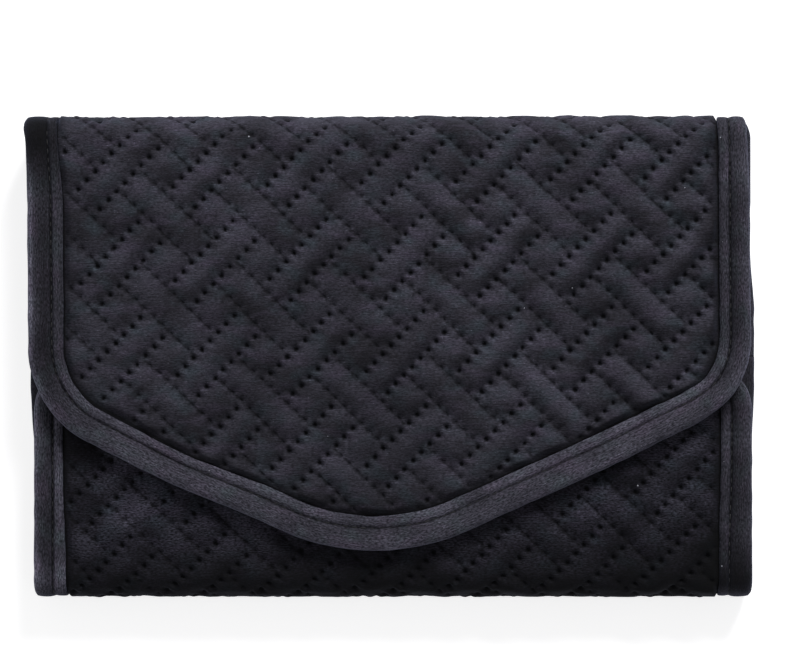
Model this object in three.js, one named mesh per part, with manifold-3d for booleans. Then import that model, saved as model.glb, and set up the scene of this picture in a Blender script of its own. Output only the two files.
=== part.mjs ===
// Quilted velvet jewelry clutch, closed, lying on its back: one strip of quilted panels folded round its
// contents (back, top fold, pointed flap, bottom fold and front), with its bindings and inside fittings.
// Millimetres. X across the clutch, Y from the bottom fold to the top fold, Z up through its layers.
//
// Each panel is built flat in its own frame: x across, v (its Y) away from the fold line that it hangs on,
// and t (its Z) into the clutch from the outer face of the velvet. Groups then fold the panels up.
import * as THREE from "three";
import { mergeGeometries, mergeVertices } from "three/addons/utils/BufferGeometryUtils.js";
import Module from "manifold-3d";

const wasm = await Module();
wasm.setup();

// Outline
const BODY_WIDTH = 237;
const FLAP_WIDTH = 238.6;
const FLAP_SHIFT = -1.8; // the flap lies a little to the left of the body
const BACK_LENGTH = 156.4; // fold line to fold line
const FRONT_LENGTH = 75;
const FRONT_CORNER_RADIUS = 14;
const POINT_FROM_BOTTOM = 7.6; // the sharp point that the flap's slanted edges would make, to the bottom fold line
const FLAP_POINT_X = -4.4; // the point lies to the left of the flap's middle
const FLAP_SLANT = THREE.MathUtils.degToRad(24.3);
const FLAP_SIDE_RADIUS = 34;
const FLAP_TIP_RADIUS = 74;
const LEAST_RADIUS = 1; // of a corner drawn in from its edge

// Cloth and wadding
const PUFF_HEIGHT = 1.6;
const VELVET = 1.2;
const WADDING = 1.2;
const LINING = 0.7;
const BINDING = 1;
const BINDING_WIDTH = 10.8;
const LAYER_GAP = 0.1;
const FOLD_GAP = 0.25; // from a fold line to the cloth on each side of it
const BUTT_GAP = 0.3; // between pieces that end against each other
const INSIDE_ROOM = 7.4; // between the bindings of the back and the front
const FLAP_ROOM = 0.5; // between the front's puffs and the flap's binding

// Quilting: a basket weave of bars and squares on the slant
const WEAVE_REPEAT = 21.94; // one bar's width and one square's
const BAR_WIDTH = 9.84;
const WELD_WIDTH = 1.3;
const PUFF_SLOPE = 1.1;
const PUFF_ROOT = 0.4;
const PUFF_MARGIN = 0.8; // from the puffs to the binding
const FOLD_MARGIN = 1.2; // from the puffs to a fold line
const BAR_X = 51.2; // centre of one bar, from the middle of the flap
const BAR_V = 29.3; // and from the flap's fold line
const WEAVE_SLANT = THREE.MathUtils.degToRad(43.9); // of its bars to the fold lines

// Magnetic snap
const SNAP_FROM_BINDING = 3.5; // its edge to the binding at the flap's point
const SNAP_RADIUS = 9;
const SNAP_BORE_RADIUS = 4.6;
const SNAP_FIT = 0.8;
const SNAP_PLATE = 0.7;
const SNAP_SHANK_RADIUS = 2;
const SNAP_NUB_CLEARANCE = 0.45;
const BACKING_RADIUS = 8;
const BACKING_THICKNESS = 0.7;

// Zip pockets
const ZIP_END_MARGIN = 7.1; // tape past the coil
const ZIP_TAPE = 0.5;
const ZIP_TAPE_WIDTH = 11;
const COIL_WIDTH = 3.6;
const COIL_HEIGHT = 1.7;
const STOP_LENGTH = 2.6;
const STOP_WALL = 0.8;
const SLIDER_LENGTH = 11;
const SLIDER_WIDTH = 8.6;
const SLIDER_WALL = 1.1;
const SLIDER_CLEARANCE = 0.3;
const SLIDER_FROM_END = 2.5; // from the coil's end, closed
const ARCH_LENGTH = 5.4;
const ARCH_WIDTH = 1.8;
const ARCH_WALL = 0.6;
const ARCH_HEIGHT = 1.8;
const PULL_LENGTH = 19;
const PULL_WIDTH = 5.6;
const PULL_THICKNESS = 0.8;
const PULL_ARM = 1.2;
const POCKET_CLOTH = 0.6;
const POCKET_HEM = 3;
const POCKET_OVERLAP = 5; // pocket cloth over the lower zip tape
const BACK_ZIP_V = 40;
const POCKET_BOTTOM_V = 6;

// Ring bar
const RING_BAR_FROM_FRONT = 11.3; // its side to the front's free edge
const RING_BAR_RADIUS = 6.2;
const RING_BAR_MARGIN = 8; // from the bindings to its anchor and its tab
const STRAP = 0.8;
const STRAP_WIDTH = 12;
const RING_BAR_NECK = 4;
const ANCHOR_LENGTH = 22;
const RING_TAB_LENGTH = 24;

// Press studs
const STUD_RADIUS = 5;
const STUD_BASE = 0.6;
const STUD_NUB_RADIUS = 2;
const STUD_NUB = 1.2;
const CAP_RADIUS = 5.6;
const CAP_HEIGHT = 1.3;
const STUD_FROM_END = 8;

// Necklace straps
const STRAP_FROM_RING_BAR = 13.3; // its round end to the ring bar's side
const STRAP_SPACING = 70;
const BAND_HEIGHT = 6;
const BAND_MARGIN = 7.4; // from the bindings
const BAND_FROM_FOLD = 1;

// Earring panel
const EARRING_HALF_LENGTH = 84;
const EARRING_START_V = 16;
const EARRING_END_V = 58;
const EARRING_THICKNESS = 1.2;
const EARRING_HOLE_RADIUS = 1.3;
const EARRING_COLUMNS = 8;
const EARRING_ROWS = 2;

// Layers of a padded panel and of a fold, measured from the velvet's outer face
const VELVET_IN = VELVET;
const WADDING_OUT = VELVET_IN + LAYER_GAP;
const WADDING_IN = WADDING_OUT + WADDING;
const PANEL_LINING_OUT = WADDING_IN + LAYER_GAP;
const PANEL_LINING_IN = PANEL_LINING_OUT + LINING;
const FOLD_LINING_OUT = VELVET_IN + LAYER_GAP;
const FOLD_LINING_IN = FOLD_LINING_OUT + LINING;
const FOLD_BINDING_IN = FOLD_LINING_IN + LAYER_GAP + BINDING;
const BINDING_OUT = -LAYER_GAP - BINDING;
const PANEL_BINDING_IN = PANEL_LINING_IN + LAYER_GAP + BINDING;
const FITTINGS = PANEL_LINING_IN + LAYER_GAP;
const TALLEST = 40;
const CLOTH_EDGE = BINDING + LAYER_GAP;

const FLAP_POINT_LENGTH = BACK_LENGTH - POINT_FROM_BOTTOM;
const BODY_HALF = BODY_WIDTH / 2;
const FLAP_HALF = FLAP_WIDTH / 2;
const BOTTOM_FOLD_LENGTH = 2 * PANEL_BINDING_IN + INSIDE_ROOM;
const TOP_FOLD_LENGTH = BOTTOM_FOLD_LENGTH + PUFF_HEIGHT + FLAP_ROOM + PANEL_BINDING_IN;
const FLAP_START = BACK_LENGTH + TOP_FOLD_LENGTH; // along the unfolded strip
const BODY_CENTRE_X = (FLAP_HALF - FLAP_SHIFT - BODY_HALF) / 2;

// Places inside the clutch that follow from its edges
const INSIDE_HALF = BODY_HALF - BINDING_WIDTH - BUTT_GAP;
const FRONT_ZIP_V = FRONT_LENGTH - BINDING_WIDTH - BUTT_GAP - ZIP_TAPE_WIDTH;
const TAPE_HALF_LENGTH = INSIDE_HALF - POCKET_HEM - BUTT_GAP;
const COIL_HALF_LENGTH = TAPE_HALF_LENGTH - ZIP_END_MARGIN;
const SLIDER_REST_X = COIL_HALF_LENGTH - SLIDER_FROM_END - SLIDER_LENGTH / 2;
const RING_BAR_V = FRONT_LENGTH + RING_BAR_FROM_FRONT + RING_BAR_RADIUS;
const RING_BAR_HINGE_X = RING_BAR_MARGIN + ANCHOR_LENGTH - INSIDE_HALF;
const RING_BAR_START_X = RING_BAR_HINGE_X + RING_BAR_NECK;
const RING_BAR_END_X = INSIDE_HALF - RING_BAR_MARGIN - RING_TAB_LENGTH;
const BAND_END_V = BACK_LENGTH - FOLD_BINDING_IN - BAND_FROM_FOLD;
const STRAP_HINGE_V = BAND_END_V - BAND_HEIGHT - BUTT_GAP;
const STRAP_END_V = RING_BAR_V + RING_BAR_RADIUS + STRAP_FROM_RING_BAR;
const STRAP_BOTTOM = FITTINGS + STUD_BASE + STUD_NUB + LAYER_GAP;
const STRAP_TOP = STRAP_BOTTOM + STRAP;
const FLAP_TIP_V = FLAP_POINT_LENGTH - FLAP_TIP_RADIUS * (1 / Math.cos(FLAP_SLANT) - 1);
const SNAP_V = FLAP_TIP_V - BINDING_WIDTH - SNAP_FROM_BINDING - SNAP_RADIUS;
const SNAP_ROOM = PUFF_HEIGHT + FLAP_ROOM + BINDING + LAYER_GAP; // from the front's velvet to the flap's lining
const SNAP_RIM = SNAP_ROOM - SNAP_PLATE - BUTT_GAP - 2 * LAYER_GAP;
const SNAP_FLOOR = SNAP_PLATE / 2;
const SNAP_NUB = SNAP_RIM - SNAP_FLOOR + BUTT_GAP - SNAP_NUB_CLEARANCE;

const velvetFinish = () => new THREE.MeshStandardMaterial({ color: 0x2c2c36, roughness: 0.95, metalness: 0 });
const bindingFinish = () => new THREE.MeshStandardMaterial({ color: 0x35353d, roughness: 0.9, metalness: 0 });
const waddingFinish = () => new THREE.MeshStandardMaterial({ color: 0xe8e6e0, roughness: 1, metalness: 0 });
const liningFinish = () => new THREE.MeshStandardMaterial({ color: 0x8f8c90, roughness: 0.85, metalness: 0 });
const pocketFinish = () => new THREE.MeshStandardMaterial({ color: 0x9b989b, roughness: 0.8, metalness: 0 });
const tapeFinish = () => new THREE.MeshStandardMaterial({ color: 0x3a3a40, roughness: 0.85, metalness: 0 });
const coilFinish = () => new THREE.MeshStandardMaterial({ color: 0x2e2e33, roughness: 0.45, metalness: 0 });
const metalFinish = () => new THREE.MeshStandardMaterial({ color: 0xc9c7c2, roughness: 0.3, metalness: 1 });
const steelFinish = () => new THREE.MeshStandardMaterial({ color: 0x9a9a9a, roughness: 0.45, metalness: 1 });

// Turns a closed geometry into a solid that can be joined and cut.
function solidFrom(geometry) {
  const bare = geometry.index ? geometry.toNonIndexed() : geometry.clone();
  bare.deleteAttribute("normal");
  bare.deleteAttribute("uv");
  const merged = mergeVertices(bare, 1e-4);
  return new wasm.Manifold(
    new wasm.Mesh({
      numProp: 3,
      vertProperties: merged.attributes.position.array,
      triVerts: new Uint32Array(merged.index.array),
    }),
  );
}

// Adds a solid to a group as a named mesh.
function addPiece(group, name, solid, material) {
  const mesh = solid.getMesh();
  const corners = new Float32Array(mesh.numVert * 3);
  for (let i = 0; i < mesh.numVert; i += 1) {
    for (let axis = 0; axis < 3; axis += 1) {
      corners[i * 3 + axis] = mesh.vertProperties[i * mesh.numProp + axis];
    }
  }
  const geometry = new THREE.BufferGeometry();
  geometry.setAttribute("position", new THREE.BufferAttribute(corners, 3));
  geometry.setIndex(new THREE.BufferAttribute(new Uint32Array(mesh.triVerts), 1));
  geometry.computeVertexNormals();
  const piece = new THREE.Mesh(geometry, material);
  piece.name = name;
  group.add(piece);
}

// A block between two values on each axis.
function block([x0, x1], [v0, v1], [t0, t1]) {
  const geometry = new THREE.BoxGeometry(x1 - x0, v1 - v0, t1 - t0);
  geometry.translate((x0 + x1) / 2, (v0 + v1) / 2, (t0 + t1) / 2);
  return solidFrom(geometry);
}

// A flat shape in x and v, made thick from t0 to t1.
function plate(shape, [t0, t1], curveSegments = 8) {
  const geometry = new THREE.ExtrudeGeometry(shape, { depth: t1 - t0, bevelEnabled: false, curveSegments });
  geometry.translate(0, 0, t0);
  return solidFrom(geometry);
}

// A profile in v and t, run across the panel from x0 to x1.
function profileAcross(points, [x0, x1]) {
  const shape = new THREE.Shape(points.map(([v, t]) => new THREE.Vector2(v, t)));
  const geometry = new THREE.ExtrudeGeometry(shape, { depth: x1 - x0, bevelEnabled: false });
  const across = new THREE.Matrix4().makeBasis(
    new THREE.Vector3(0, 1, 0),
    new THREE.Vector3(0, 0, 1),
    new THREE.Vector3(1, 0, 0),
  );
  geometry.applyMatrix4(across);
  geometry.translate(x0, 0, 0);
  return solidFrom(geometry);
}

// A turned piece standing on t = 0 at a place on the panel, from (radius, height) points that start and end
// on its axis and climb it.
function turned(points, x, v, t, segments = 24) {
  const profile = points.map(([radius, height]) => new THREE.Vector2(radius, height));
  const geometry = new THREE.LatheGeometry(profile, segments);
  geometry.rotateX(Math.PI / 2);
  geometry.translate(x, v, t);
  return solidFrom(geometry);
}

function disc(radius, [t0, t1], x, v, segments = 24) {
  const points = [
    [0, 0],
    [radius, 0],
    [radius, t1 - t0],
    [0, t1 - t0],
  ];
  return turned(points, x, v, t0, segments);
}

// The outline of a plain panel, drawn in from its edge on both sides only.
function stripOutline(length, inset) {
  const half = BODY_HALF - inset;
  const shape = new THREE.Shape();
  shape.moveTo(-half, 0);
  shape.lineTo(half, 0);
  shape.lineTo(half, length);
  shape.lineTo(-half, length);
  return shape;
}

// The front's outline: its free edge has two rounded corners.
function frontOutline(inset) {
  const half = BODY_HALF - inset;
  const radius = Math.max(FRONT_CORNER_RADIUS - inset, LEAST_RADIUS);
  const centreX = half - radius;
  const centreV = FRONT_LENGTH - inset - radius;
  const shape = new THREE.Shape();
  shape.moveTo(-half, 0);
  shape.lineTo(half, 0);
  shape.absarc(centreX, centreV, radius, 0, Math.PI / 2);
  shape.absarc(-centreX, centreV, radius, Math.PI / 2, Math.PI);
  return shape;
}

// The flap's outline: straight sides, round corners and a blunt point.
function flapOutline(inset) {
  const half = FLAP_HALF - inset;
  const normal = Math.PI / 2 - FLAP_SLANT;
  const sideRadius = Math.max(FLAP_SIDE_RADIUS - inset, LEAST_RADIUS);
  const tipRadius = Math.max(FLAP_TIP_RADIUS - inset, LEAST_RADIUS);
  const cornerX = half - sideRadius;
  const slantedV = (x, radius) => {
    const pointV = FLAP_POINT_LENGTH - Math.abs(x - FLAP_POINT_X) * Math.tan(FLAP_SLANT);
    return pointV - (inset + radius) / Math.cos(FLAP_SLANT);
  };
  const shape = new THREE.Shape();
  shape.moveTo(-half, 0);
  shape.lineTo(half, 0);
  shape.absarc(cornerX, slantedV(cornerX, sideRadius), sideRadius, 0, normal);
  shape.absarc(FLAP_POINT_X, slantedV(FLAP_POINT_X, tipRadius), tipRadius, normal, Math.PI - normal);
  shape.absarc(-cornerX, slantedV(-cornerX, sideRadius), sideRadius, Math.PI - normal, Math.PI);
  return shape;
}

// The room that a panel has between its fold lines: its cloth is mitred there so that folds can open.
function foldRoom(length, foldedAtEnd) {
  const depth = PANEL_BINDING_IN + BINDING;
  const end = foldedAtEnd ? length - FOLD_GAP : TALLEST + length;
  const endInside = foldedAtEnd ? end - depth : end;
  const points = [
    [FOLD_GAP, -depth],
    [end, -depth],
    [end, 0],
    [endInside, depth],
    [FOLD_GAP + depth, depth],
    [FOLD_GAP, 0],
  ];
  return profileAcross(points, [-FLAP_WIDTH, FLAP_WIDTH]);
}

// One puff: a low block with sloping sides, its crown outwards.
function puffGeometry(length, width, angle, x, v) {
  const base = [length - WELD_WIDTH, width - WELD_WIDTH];
  const geometry = new THREE.BoxGeometry(base[0], base[1], PUFF_HEIGHT + PUFF_ROOT);
  geometry.deleteAttribute("normal");
  geometry.deleteAttribute("uv");
  geometry.translate(0, 0, (PUFF_ROOT - PUFF_HEIGHT) / 2);
  const corners = geometry.attributes.position;
  for (let i = 0; i < corners.count; i += 1) {
    if (corners.getZ(i) < 0) {
      corners.setX(i, corners.getX(i) - Math.sign(corners.getX(i)) * PUFF_SLOPE);
      corners.setY(i, corners.getY(i) - Math.sign(corners.getY(i)) * PUFF_SLOPE);
    }
  }
  geometry.rotateZ(angle);
  geometry.translate(x, v, 0);
  return geometry;
}

// The puffs of one panel. The weave runs on over the whole strip, whose length is counted from the back's
// bottom fold line; the panels below it are built turned half round.
function puffs(outline, length, foldedAtEnd, stripStart, turnedRound) {
  const along = new THREE.Vector2(Math.cos(WEAVE_SLANT), Math.sin(WEAVE_SLANT));
  const across = new THREE.Vector2(along.y, -along.x);
  const square = WEAVE_REPEAT - BAR_WIDTH;
  const barLength = BAR_WIDTH + 2 * square;
  const motifs = [
    { at: [0, 0], size: [barLength, BAR_WIDTH] },
    { at: [1, 0], size: [BAR_WIDTH, barLength] },
    { at: [-0.5, 0.5], size: [square, square] },
    { at: [0.5, 0.5], size: [square, square] },
  ];
  const side = turnedRound ? -1 : 1;
  const reach = BODY_HALF + WEAVE_REPEAT;
  const steps = Math.ceil((FLAP_START + 2 * FLAP_POINT_LENGTH) / WEAVE_REPEAT);
  const blocks = [];
  for (let i = -steps; i <= steps; i += 1) {
    for (let j = -steps; j <= steps; j += 1) {
      for (const { at, size } of motifs) {
        const a = (at[0] + i + j) * WEAVE_REPEAT;
        const b = (at[1] + i - j) * WEAVE_REPEAT;
        const x = side * (BAR_X + a * along.x + b * across.x);
        const v = side * (FLAP_START + BAR_V + a * along.y + b * across.y - stripStart);
        if (Math.abs(x) < reach && v > -WEAVE_REPEAT && v < length + WEAVE_REPEAT) {
          blocks.push(puffGeometry(size[0], size[1], WEAVE_SLANT, x, v));
        }
      }
    }
  }
  const all = solidFrom(mergeGeometries(blocks));
  const end = foldedAtEnd ? length - FOLD_MARGIN : length;
  const kept = block([-FLAP_WIDTH, FLAP_WIDTH], [FOLD_MARGIN, end], [-PUFF_HEIGHT, PUFF_ROOT]);
  return all.intersect(plate(outline(BINDING_WIDTH + PUFF_MARGIN), [-TALLEST, TALLEST])).intersect(kept);
}

// Cloth layers and quilting that every panel has.
function addPanelLayers(group, name, panel) {
  const { outline, length, foldedAtEnd, stripStart, turnedRound, padded } = panel;
  const room = foldRoom(length, foldedAtEnd);
  const velvet = plate(outline(CLOTH_EDGE), [0, VELVET_IN]).intersect(room);
  const raised = puffs(outline, length, foldedAtEnd, stripStart, turnedRound);
  let quilt = velvet.add(raised);
  let wadding = plate(outline(BINDING_WIDTH / 2), [WADDING_OUT, WADDING_IN]).intersect(room);
  const liningLayer = padded ? [PANEL_LINING_OUT, PANEL_LINING_IN] : [FOLD_LINING_OUT, FOLD_LINING_IN];
  let lining = plate(outline(CLOTH_EDGE), liningLayer).intersect(room);
  const cuts = panel.cuts ?? {};
  if (cuts.quilt) quilt = quilt.subtract(cuts.quilt);
  if (cuts.wadding) wadding = wadding.subtract(cuts.wadding);
  if (cuts.lining) lining = lining.subtract(cuts.lining);
  addPiece(group, `${name}_quilt`, quilt, velvetFinish());
  if (padded) addPiece(group, `${name}_wadding`, wadding, waddingFinish());
  addPiece(group, `${name}_lining`, lining, liningFinish());
}

// Straight bindings along both sides of a panel that has folds at both ends.
function addSideBindings(group, name, length, liningIn) {
  const room = foldRoom(length, true);
  const along = [-TALLEST, length + TALLEST];
  const inner = liningIn + LAYER_GAP;
  for (const [side, sign] of [
    ["left", -1],
    ["right", 1],
  ]) {
    const across = (low, high) => (sign > 0 ? [low, high] : [-high, -low]);
    const outer = block(across(BODY_HALF - BINDING_WIDTH, BODY_HALF), along, [BINDING_OUT, inner + BINDING]);
    const hollow = block(across(0, BODY_HALF - BINDING), along, [-LAYER_GAP, inner]);
    addPiece(group, `${name}_binding_${side}`, outer.subtract(hollow).intersect(room), bindingFinish());
  }
}

// A binding that runs round a panel's free edge from one end of its fold to the other.
function edgeBinding(outline, length) {
  const outer = plate(outline(0), [BINDING_OUT, PANEL_BINDING_IN]);
  const hollow = plate(outline(BINDING), [-LAYER_GAP, PANEL_LINING_IN + LAYER_GAP]);
  const middle = plate(outline(BINDING_WIDTH), [-TALLEST, TALLEST]);
  return outer.subtract(hollow).subtract(middle).intersect(foldRoom(length, false));
}

// A press stud: the part on the lining, and the cap on the strap that closes over it.
function addPressStud(group, capGroup, name, x, v) {
  const base = FITTINGS;
  const stud = [
    [0, 0],
    [STUD_RADIUS, 0],
    [STUD_RADIUS, STUD_BASE],
    [STUD_NUB_RADIUS, STUD_BASE],
    [STUD_NUB_RADIUS, STUD_BASE + STUD_NUB],
    [0, STUD_BASE + STUD_NUB],
  ];
  const cap = [
    [0, 0],
    [CAP_RADIUS, 0],
    [CAP_RADIUS, CAP_HEIGHT / 3],
    [CAP_RADIUS * 0.8, CAP_HEIGHT * 0.85],
    [CAP_RADIUS * 0.4, CAP_HEIGHT],
    [0, CAP_HEIGHT],
  ];
  addPiece(group, `${name}_stud`, turned(stud, x, v, base), metalFinish());
  addPiece(capGroup, `${name}_cap`, turned(cap, x, v, STRAP_TOP + LAYER_GAP), metalFinish());
}

// A zip pocket on a panel's lining: zip along its mouth, hemmed cloth below it.
function addZipPocket(group, name, zipV) {
  const tapeTop = FITTINGS + ZIP_TAPE;
  const clothBottom = tapeTop + LAYER_GAP;
  const clothTop = clothBottom + POCKET_CLOTH;
  const lowerEdge = zipV - ZIP_TAPE_WIDTH;
  const mouth = lowerEdge + POCKET_OVERLAP;
  const tapeAcross = [-TAPE_HALF_LENGTH, TAPE_HALF_LENGTH];
  const upperTape = block(tapeAcross, [zipV + BUTT_GAP / 2, zipV + ZIP_TAPE_WIDTH], [FITTINGS, tapeTop]);
  const lowerTape = block(tapeAcross, [lowerEdge, zipV - BUTT_GAP / 2], [FITTINGS, tapeTop]);
  const cloth = block([-INSIDE_HALF, INSIDE_HALF], [POCKET_BOTTOM_V, mouth], [FITTINGS, clothTop]);
  const pouch = block(
    [POCKET_HEM - INSIDE_HALF, INSIDE_HALF - POCKET_HEM],
    [POCKET_BOTTOM_V + POCKET_HEM, mouth + TALLEST],
    [-TALLEST, clothBottom],
  );
  addPiece(group, `${name}_pocket`, cloth.subtract(pouch), pocketFinish());
  addPiece(group, `${name}_zip_tape_upper`, upperTape, tapeFinish());
  addPiece(group, `${name}_zip_tape_lower`, lowerTape, tapeFinish());
  addZipCoil(group, name, zipV, clothBottom);
  addZipSlider(group, name, zipV, clothBottom);
}

// The closed coil, half round on the tapes, with a clamped stop at each end.
function addZipCoil(group, name, zipV, base) {
  const arc = [];
  const steps = 6;
  for (let i = 0; i <= steps; i += 1) {
    const angle = (Math.PI * i) / steps;
    arc.push([zipV + (COIL_WIDTH / 2) * Math.cos(angle), base + COIL_HEIGHT * Math.sin(angle)]);
  }
  addPiece(group, `${name}_zip_coil`, profileAcross(arc, [-COIL_HALF_LENGTH, COIL_HALF_LENGTH]), coilFinish());
  const halfWidth = COIL_WIDTH / 2 + STOP_WALL;
  for (const [end, sign] of [
    ["start", -1],
    ["end", 1],
  ]) {
    const centre = sign * (COIL_HALF_LENGTH + BUTT_GAP + STOP_LENGTH / 2);
    const along = [centre - STOP_LENGTH / 2, centre + STOP_LENGTH / 2];
    const stop = block(along, [zipV - halfWidth, zipV + halfWidth], [base, base + COIL_HEIGHT + STOP_WALL / 2]);
    addPiece(group, `${name}_zip_stop_${end}`, stop, metalFinish());
  }
}

// The slider straddles the coil, and its pull hangs on a small arch by a cross bar.
function addZipSlider(group, name, zipV, base) {
  const channelHalf = COIL_WIDTH / 2 + SLIDER_CLEARANCE;
  const channelTop = base + COIL_HEIGHT + SLIDER_CLEARANCE;
  const top = channelTop + SLIDER_WALL;
  const x = SLIDER_REST_X;
  const along = [x - SLIDER_LENGTH / 2, x + SLIDER_LENGTH / 2];
  const shell = block(along, [zipV - SLIDER_WIDTH / 2, zipV + SLIDER_WIDTH / 2], [base + LAYER_GAP, top]);
  const channel = block(
    [x - SLIDER_LENGTH, x + SLIDER_LENGTH],
    [zipV - channelHalf, zipV + channelHalf],
    [-TALLEST, channelTop],
  );
  const clothRelief = block(
    [x - SLIDER_LENGTH, x + SLIDER_LENGTH],
    [zipV - ZIP_TAPE_WIDTH, zipV - ZIP_TAPE_WIDTH + POCKET_OVERLAP + BUTT_GAP],
    [-TALLEST, base + POCKET_CLOTH + SLIDER_CLEARANCE],
  );
  const archHalf = ARCH_LENGTH / 2;
  const arch = block([x - archHalf, x + archHalf], [zipV - ARCH_WIDTH / 2, zipV + ARCH_WIDTH / 2], [
    top - SLIDER_WALL / 2,
    top + ARCH_HEIGHT,
  ]);
  const eye = block(
    [x - archHalf + ARCH_WALL, x + archHalf - ARCH_WALL],
    [zipV - ARCH_WIDTH, zipV + ARCH_WIDTH],
    [top, top + ARCH_HEIGHT - ARCH_WALL],
  );
  const slider = shell.subtract(channel).subtract(clothRelief).add(arch).subtract(eye);
  addPiece(group, `${name}_zip_slider`, slider, metalFinish());
  addPiece(group, `${name}_zip_pull`, pullTab(x, zipV, top), metalFinish());
}

// The pull: a plate with a window round the arch, closed by the cross bar inside it.
function pullTab(x, zipV, sliderTop) {
  const bottom = sliderTop + (ARCH_HEIGHT - ARCH_WALL - PULL_THICKNESS) / 2;
  const layer = [bottom, bottom + PULL_THICKNESS];
  const windowHalf = PULL_WIDTH / 2 - PULL_ARM;
  const windowLength = Math.hypot(ARCH_LENGTH / 2, ARCH_HEIGHT) + SLIDER_CLEARANCE;
  const outer = new THREE.Shape();
  const round = PULL_WIDTH / 2;
  outer.moveTo(x + PULL_THICKNESS / 2, zipV + round);
  outer.lineTo(x - PULL_LENGTH + round, zipV + round);
  outer.absarc(x - PULL_LENGTH + round, zipV, round, Math.PI / 2, (3 * Math.PI) / 2);
  outer.lineTo(x + PULL_THICKNESS / 2, zipV - round);
  const plain = plate(outer, layer);
  const eyelet = block(
    [x - windowLength, x - PULL_THICKNESS / 2],
    [zipV - windowHalf, zipV + windowHalf],
    [-TALLEST, TALLEST],
  );
  return plain.subtract(eyelet);
}

// The ring bar: a stuffed roll that lifts on its sewn left end and closes with a press stud at its right.
function addRingBar(group) {
  const bottom = FITTINGS + LAYER_GAP;
  const centreT = bottom + RING_BAR_RADIUS;
  const start = RING_BAR_START_X;
  const rollLength = RING_BAR_END_X - start;
  const rollStraight = rollLength - 2 * RING_BAR_RADIUS;
  const roll = new THREE.CapsuleGeometry(RING_BAR_RADIUS, rollStraight, 5, 16, 1);
  roll.rotateZ(Math.PI / 2);
  roll.translate(start + rollLength / 2, RING_BAR_V, centreT);
  const halfStrap = STRAP_WIDTH / 2;
  const across = [RING_BAR_V - halfStrap, RING_BAR_V + halfStrap];
  const neckEnd = start + RING_BAR_RADIUS;
  const neck = block([RING_BAR_HINGE_X + BUTT_GAP, neckEnd], across, [FITTINGS, FITTINGS + STRAP]);
  const neckWeb = block([start, neckEnd], [RING_BAR_V - 1, RING_BAR_V + 1], [FITTINGS, centreT]);
  const tabStart = RING_BAR_END_X - RING_BAR_RADIUS;
  const tabEnd = RING_BAR_END_X + RING_TAB_LENGTH;
  const tab = block([tabStart, tabEnd], across, [STRAP_BOTTOM, STRAP_TOP]);
  const bar = solidFrom(roll).add(neck).add(neckWeb).add(tab);
  const anchor = block([RING_BAR_HINGE_X - ANCHOR_LENGTH, RING_BAR_HINGE_X - BUTT_GAP], across, [
    FITTINGS,
    FITTINGS + STRAP,
  ]);
  addPiece(group, "ring_bar", bar, pocketFinish());
  addPiece(group, "ring_bar_anchor", anchor, pocketFinish());
  addPressStud(group, group, "ring_bar", tabEnd - STUD_FROM_END, RING_BAR_V);
}

// Three straps that hold necklaces, hinged at a padded band and closed by press studs.
function addNecklaceStraps(group) {
  const bandTop = STRAP_TOP - STRAP / 2;
  const bandAcross = [BAND_MARGIN - INSIDE_HALF, INSIDE_HALF - BAND_MARGIN];
  const band = block(bandAcross, [BAND_END_V - BAND_HEIGHT, BAND_END_V], [FITTINGS, bandTop]);
  addPiece(group, "necklace_band", band, pocketFinish());
  const names = ["left", "middle", "right"];
  names.forEach((name, i) => {
    const x = (i - 1) * STRAP_SPACING;
    const end = STRAP_END_V;
    const strap = new THREE.Shape();
    const half = STRAP_WIDTH / 2;
    strap.moveTo(x + half, STRAP_HINGE_V - BUTT_GAP / 2);
    strap.lineTo(x - half, STRAP_HINGE_V - BUTT_GAP / 2);
    strap.absarc(x, end + half, half, Math.PI, 2 * Math.PI);
    addPiece(group, `necklace_strap_${name}`, plate(strap, [STRAP_BOTTOM, STRAP_TOP]), pocketFinish());
    addPressStud(group, group, `necklace_strap_${name}`, x, end + STUD_FROM_END);
  });
}

// The earring panel on the flap's lining, with rows of holes for posts.
function addEarringPanel(group) {
  const layer = [FITTINGS, FITTINGS + EARRING_THICKNESS];
  let panel = block([-EARRING_HALF_LENGTH, EARRING_HALF_LENGTH], [EARRING_START_V, EARRING_END_V], layer);
  const stepX = (2 * EARRING_HALF_LENGTH) / EARRING_COLUMNS;
  const stepV = (EARRING_END_V - EARRING_START_V) / EARRING_ROWS;
  for (let row = 0; row < EARRING_ROWS; row += 1) {
    for (let column = 0; column < EARRING_COLUMNS; column += 1) {
      const x = -EARRING_HALF_LENGTH + (column + 0.5) * stepX;
      const v = EARRING_START_V + (row + 0.5) * stepV;
      panel = panel.subtract(disc(EARRING_HOLE_RADIUS, [-TALLEST, TALLEST], x, v, 8));
    }
  }
  addPiece(group, "earring_panel", panel, liningFinish());
}

// The snap's shank passes the lining and holds a backing plate in a hole of the wadding.
function snapCuts(x, v) {
  const shankHole = SNAP_SHANK_RADIUS + LAYER_GAP;
  return {
    wadding: disc(BACKING_RADIUS + BUTT_GAP, [-TALLEST, TALLEST], x, v),
    hole: disc(shankHole, [-TALLEST, TALLEST], x, v, 16),
  };
}

function backingPlate(x, v) {
  const middle = (WADDING_OUT + WADDING_IN) / 2;
  return disc(BACKING_RADIUS, [middle - BACKING_THICKNESS / 2, middle + BACKING_THICKNESS / 2], x, v);
}

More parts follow.
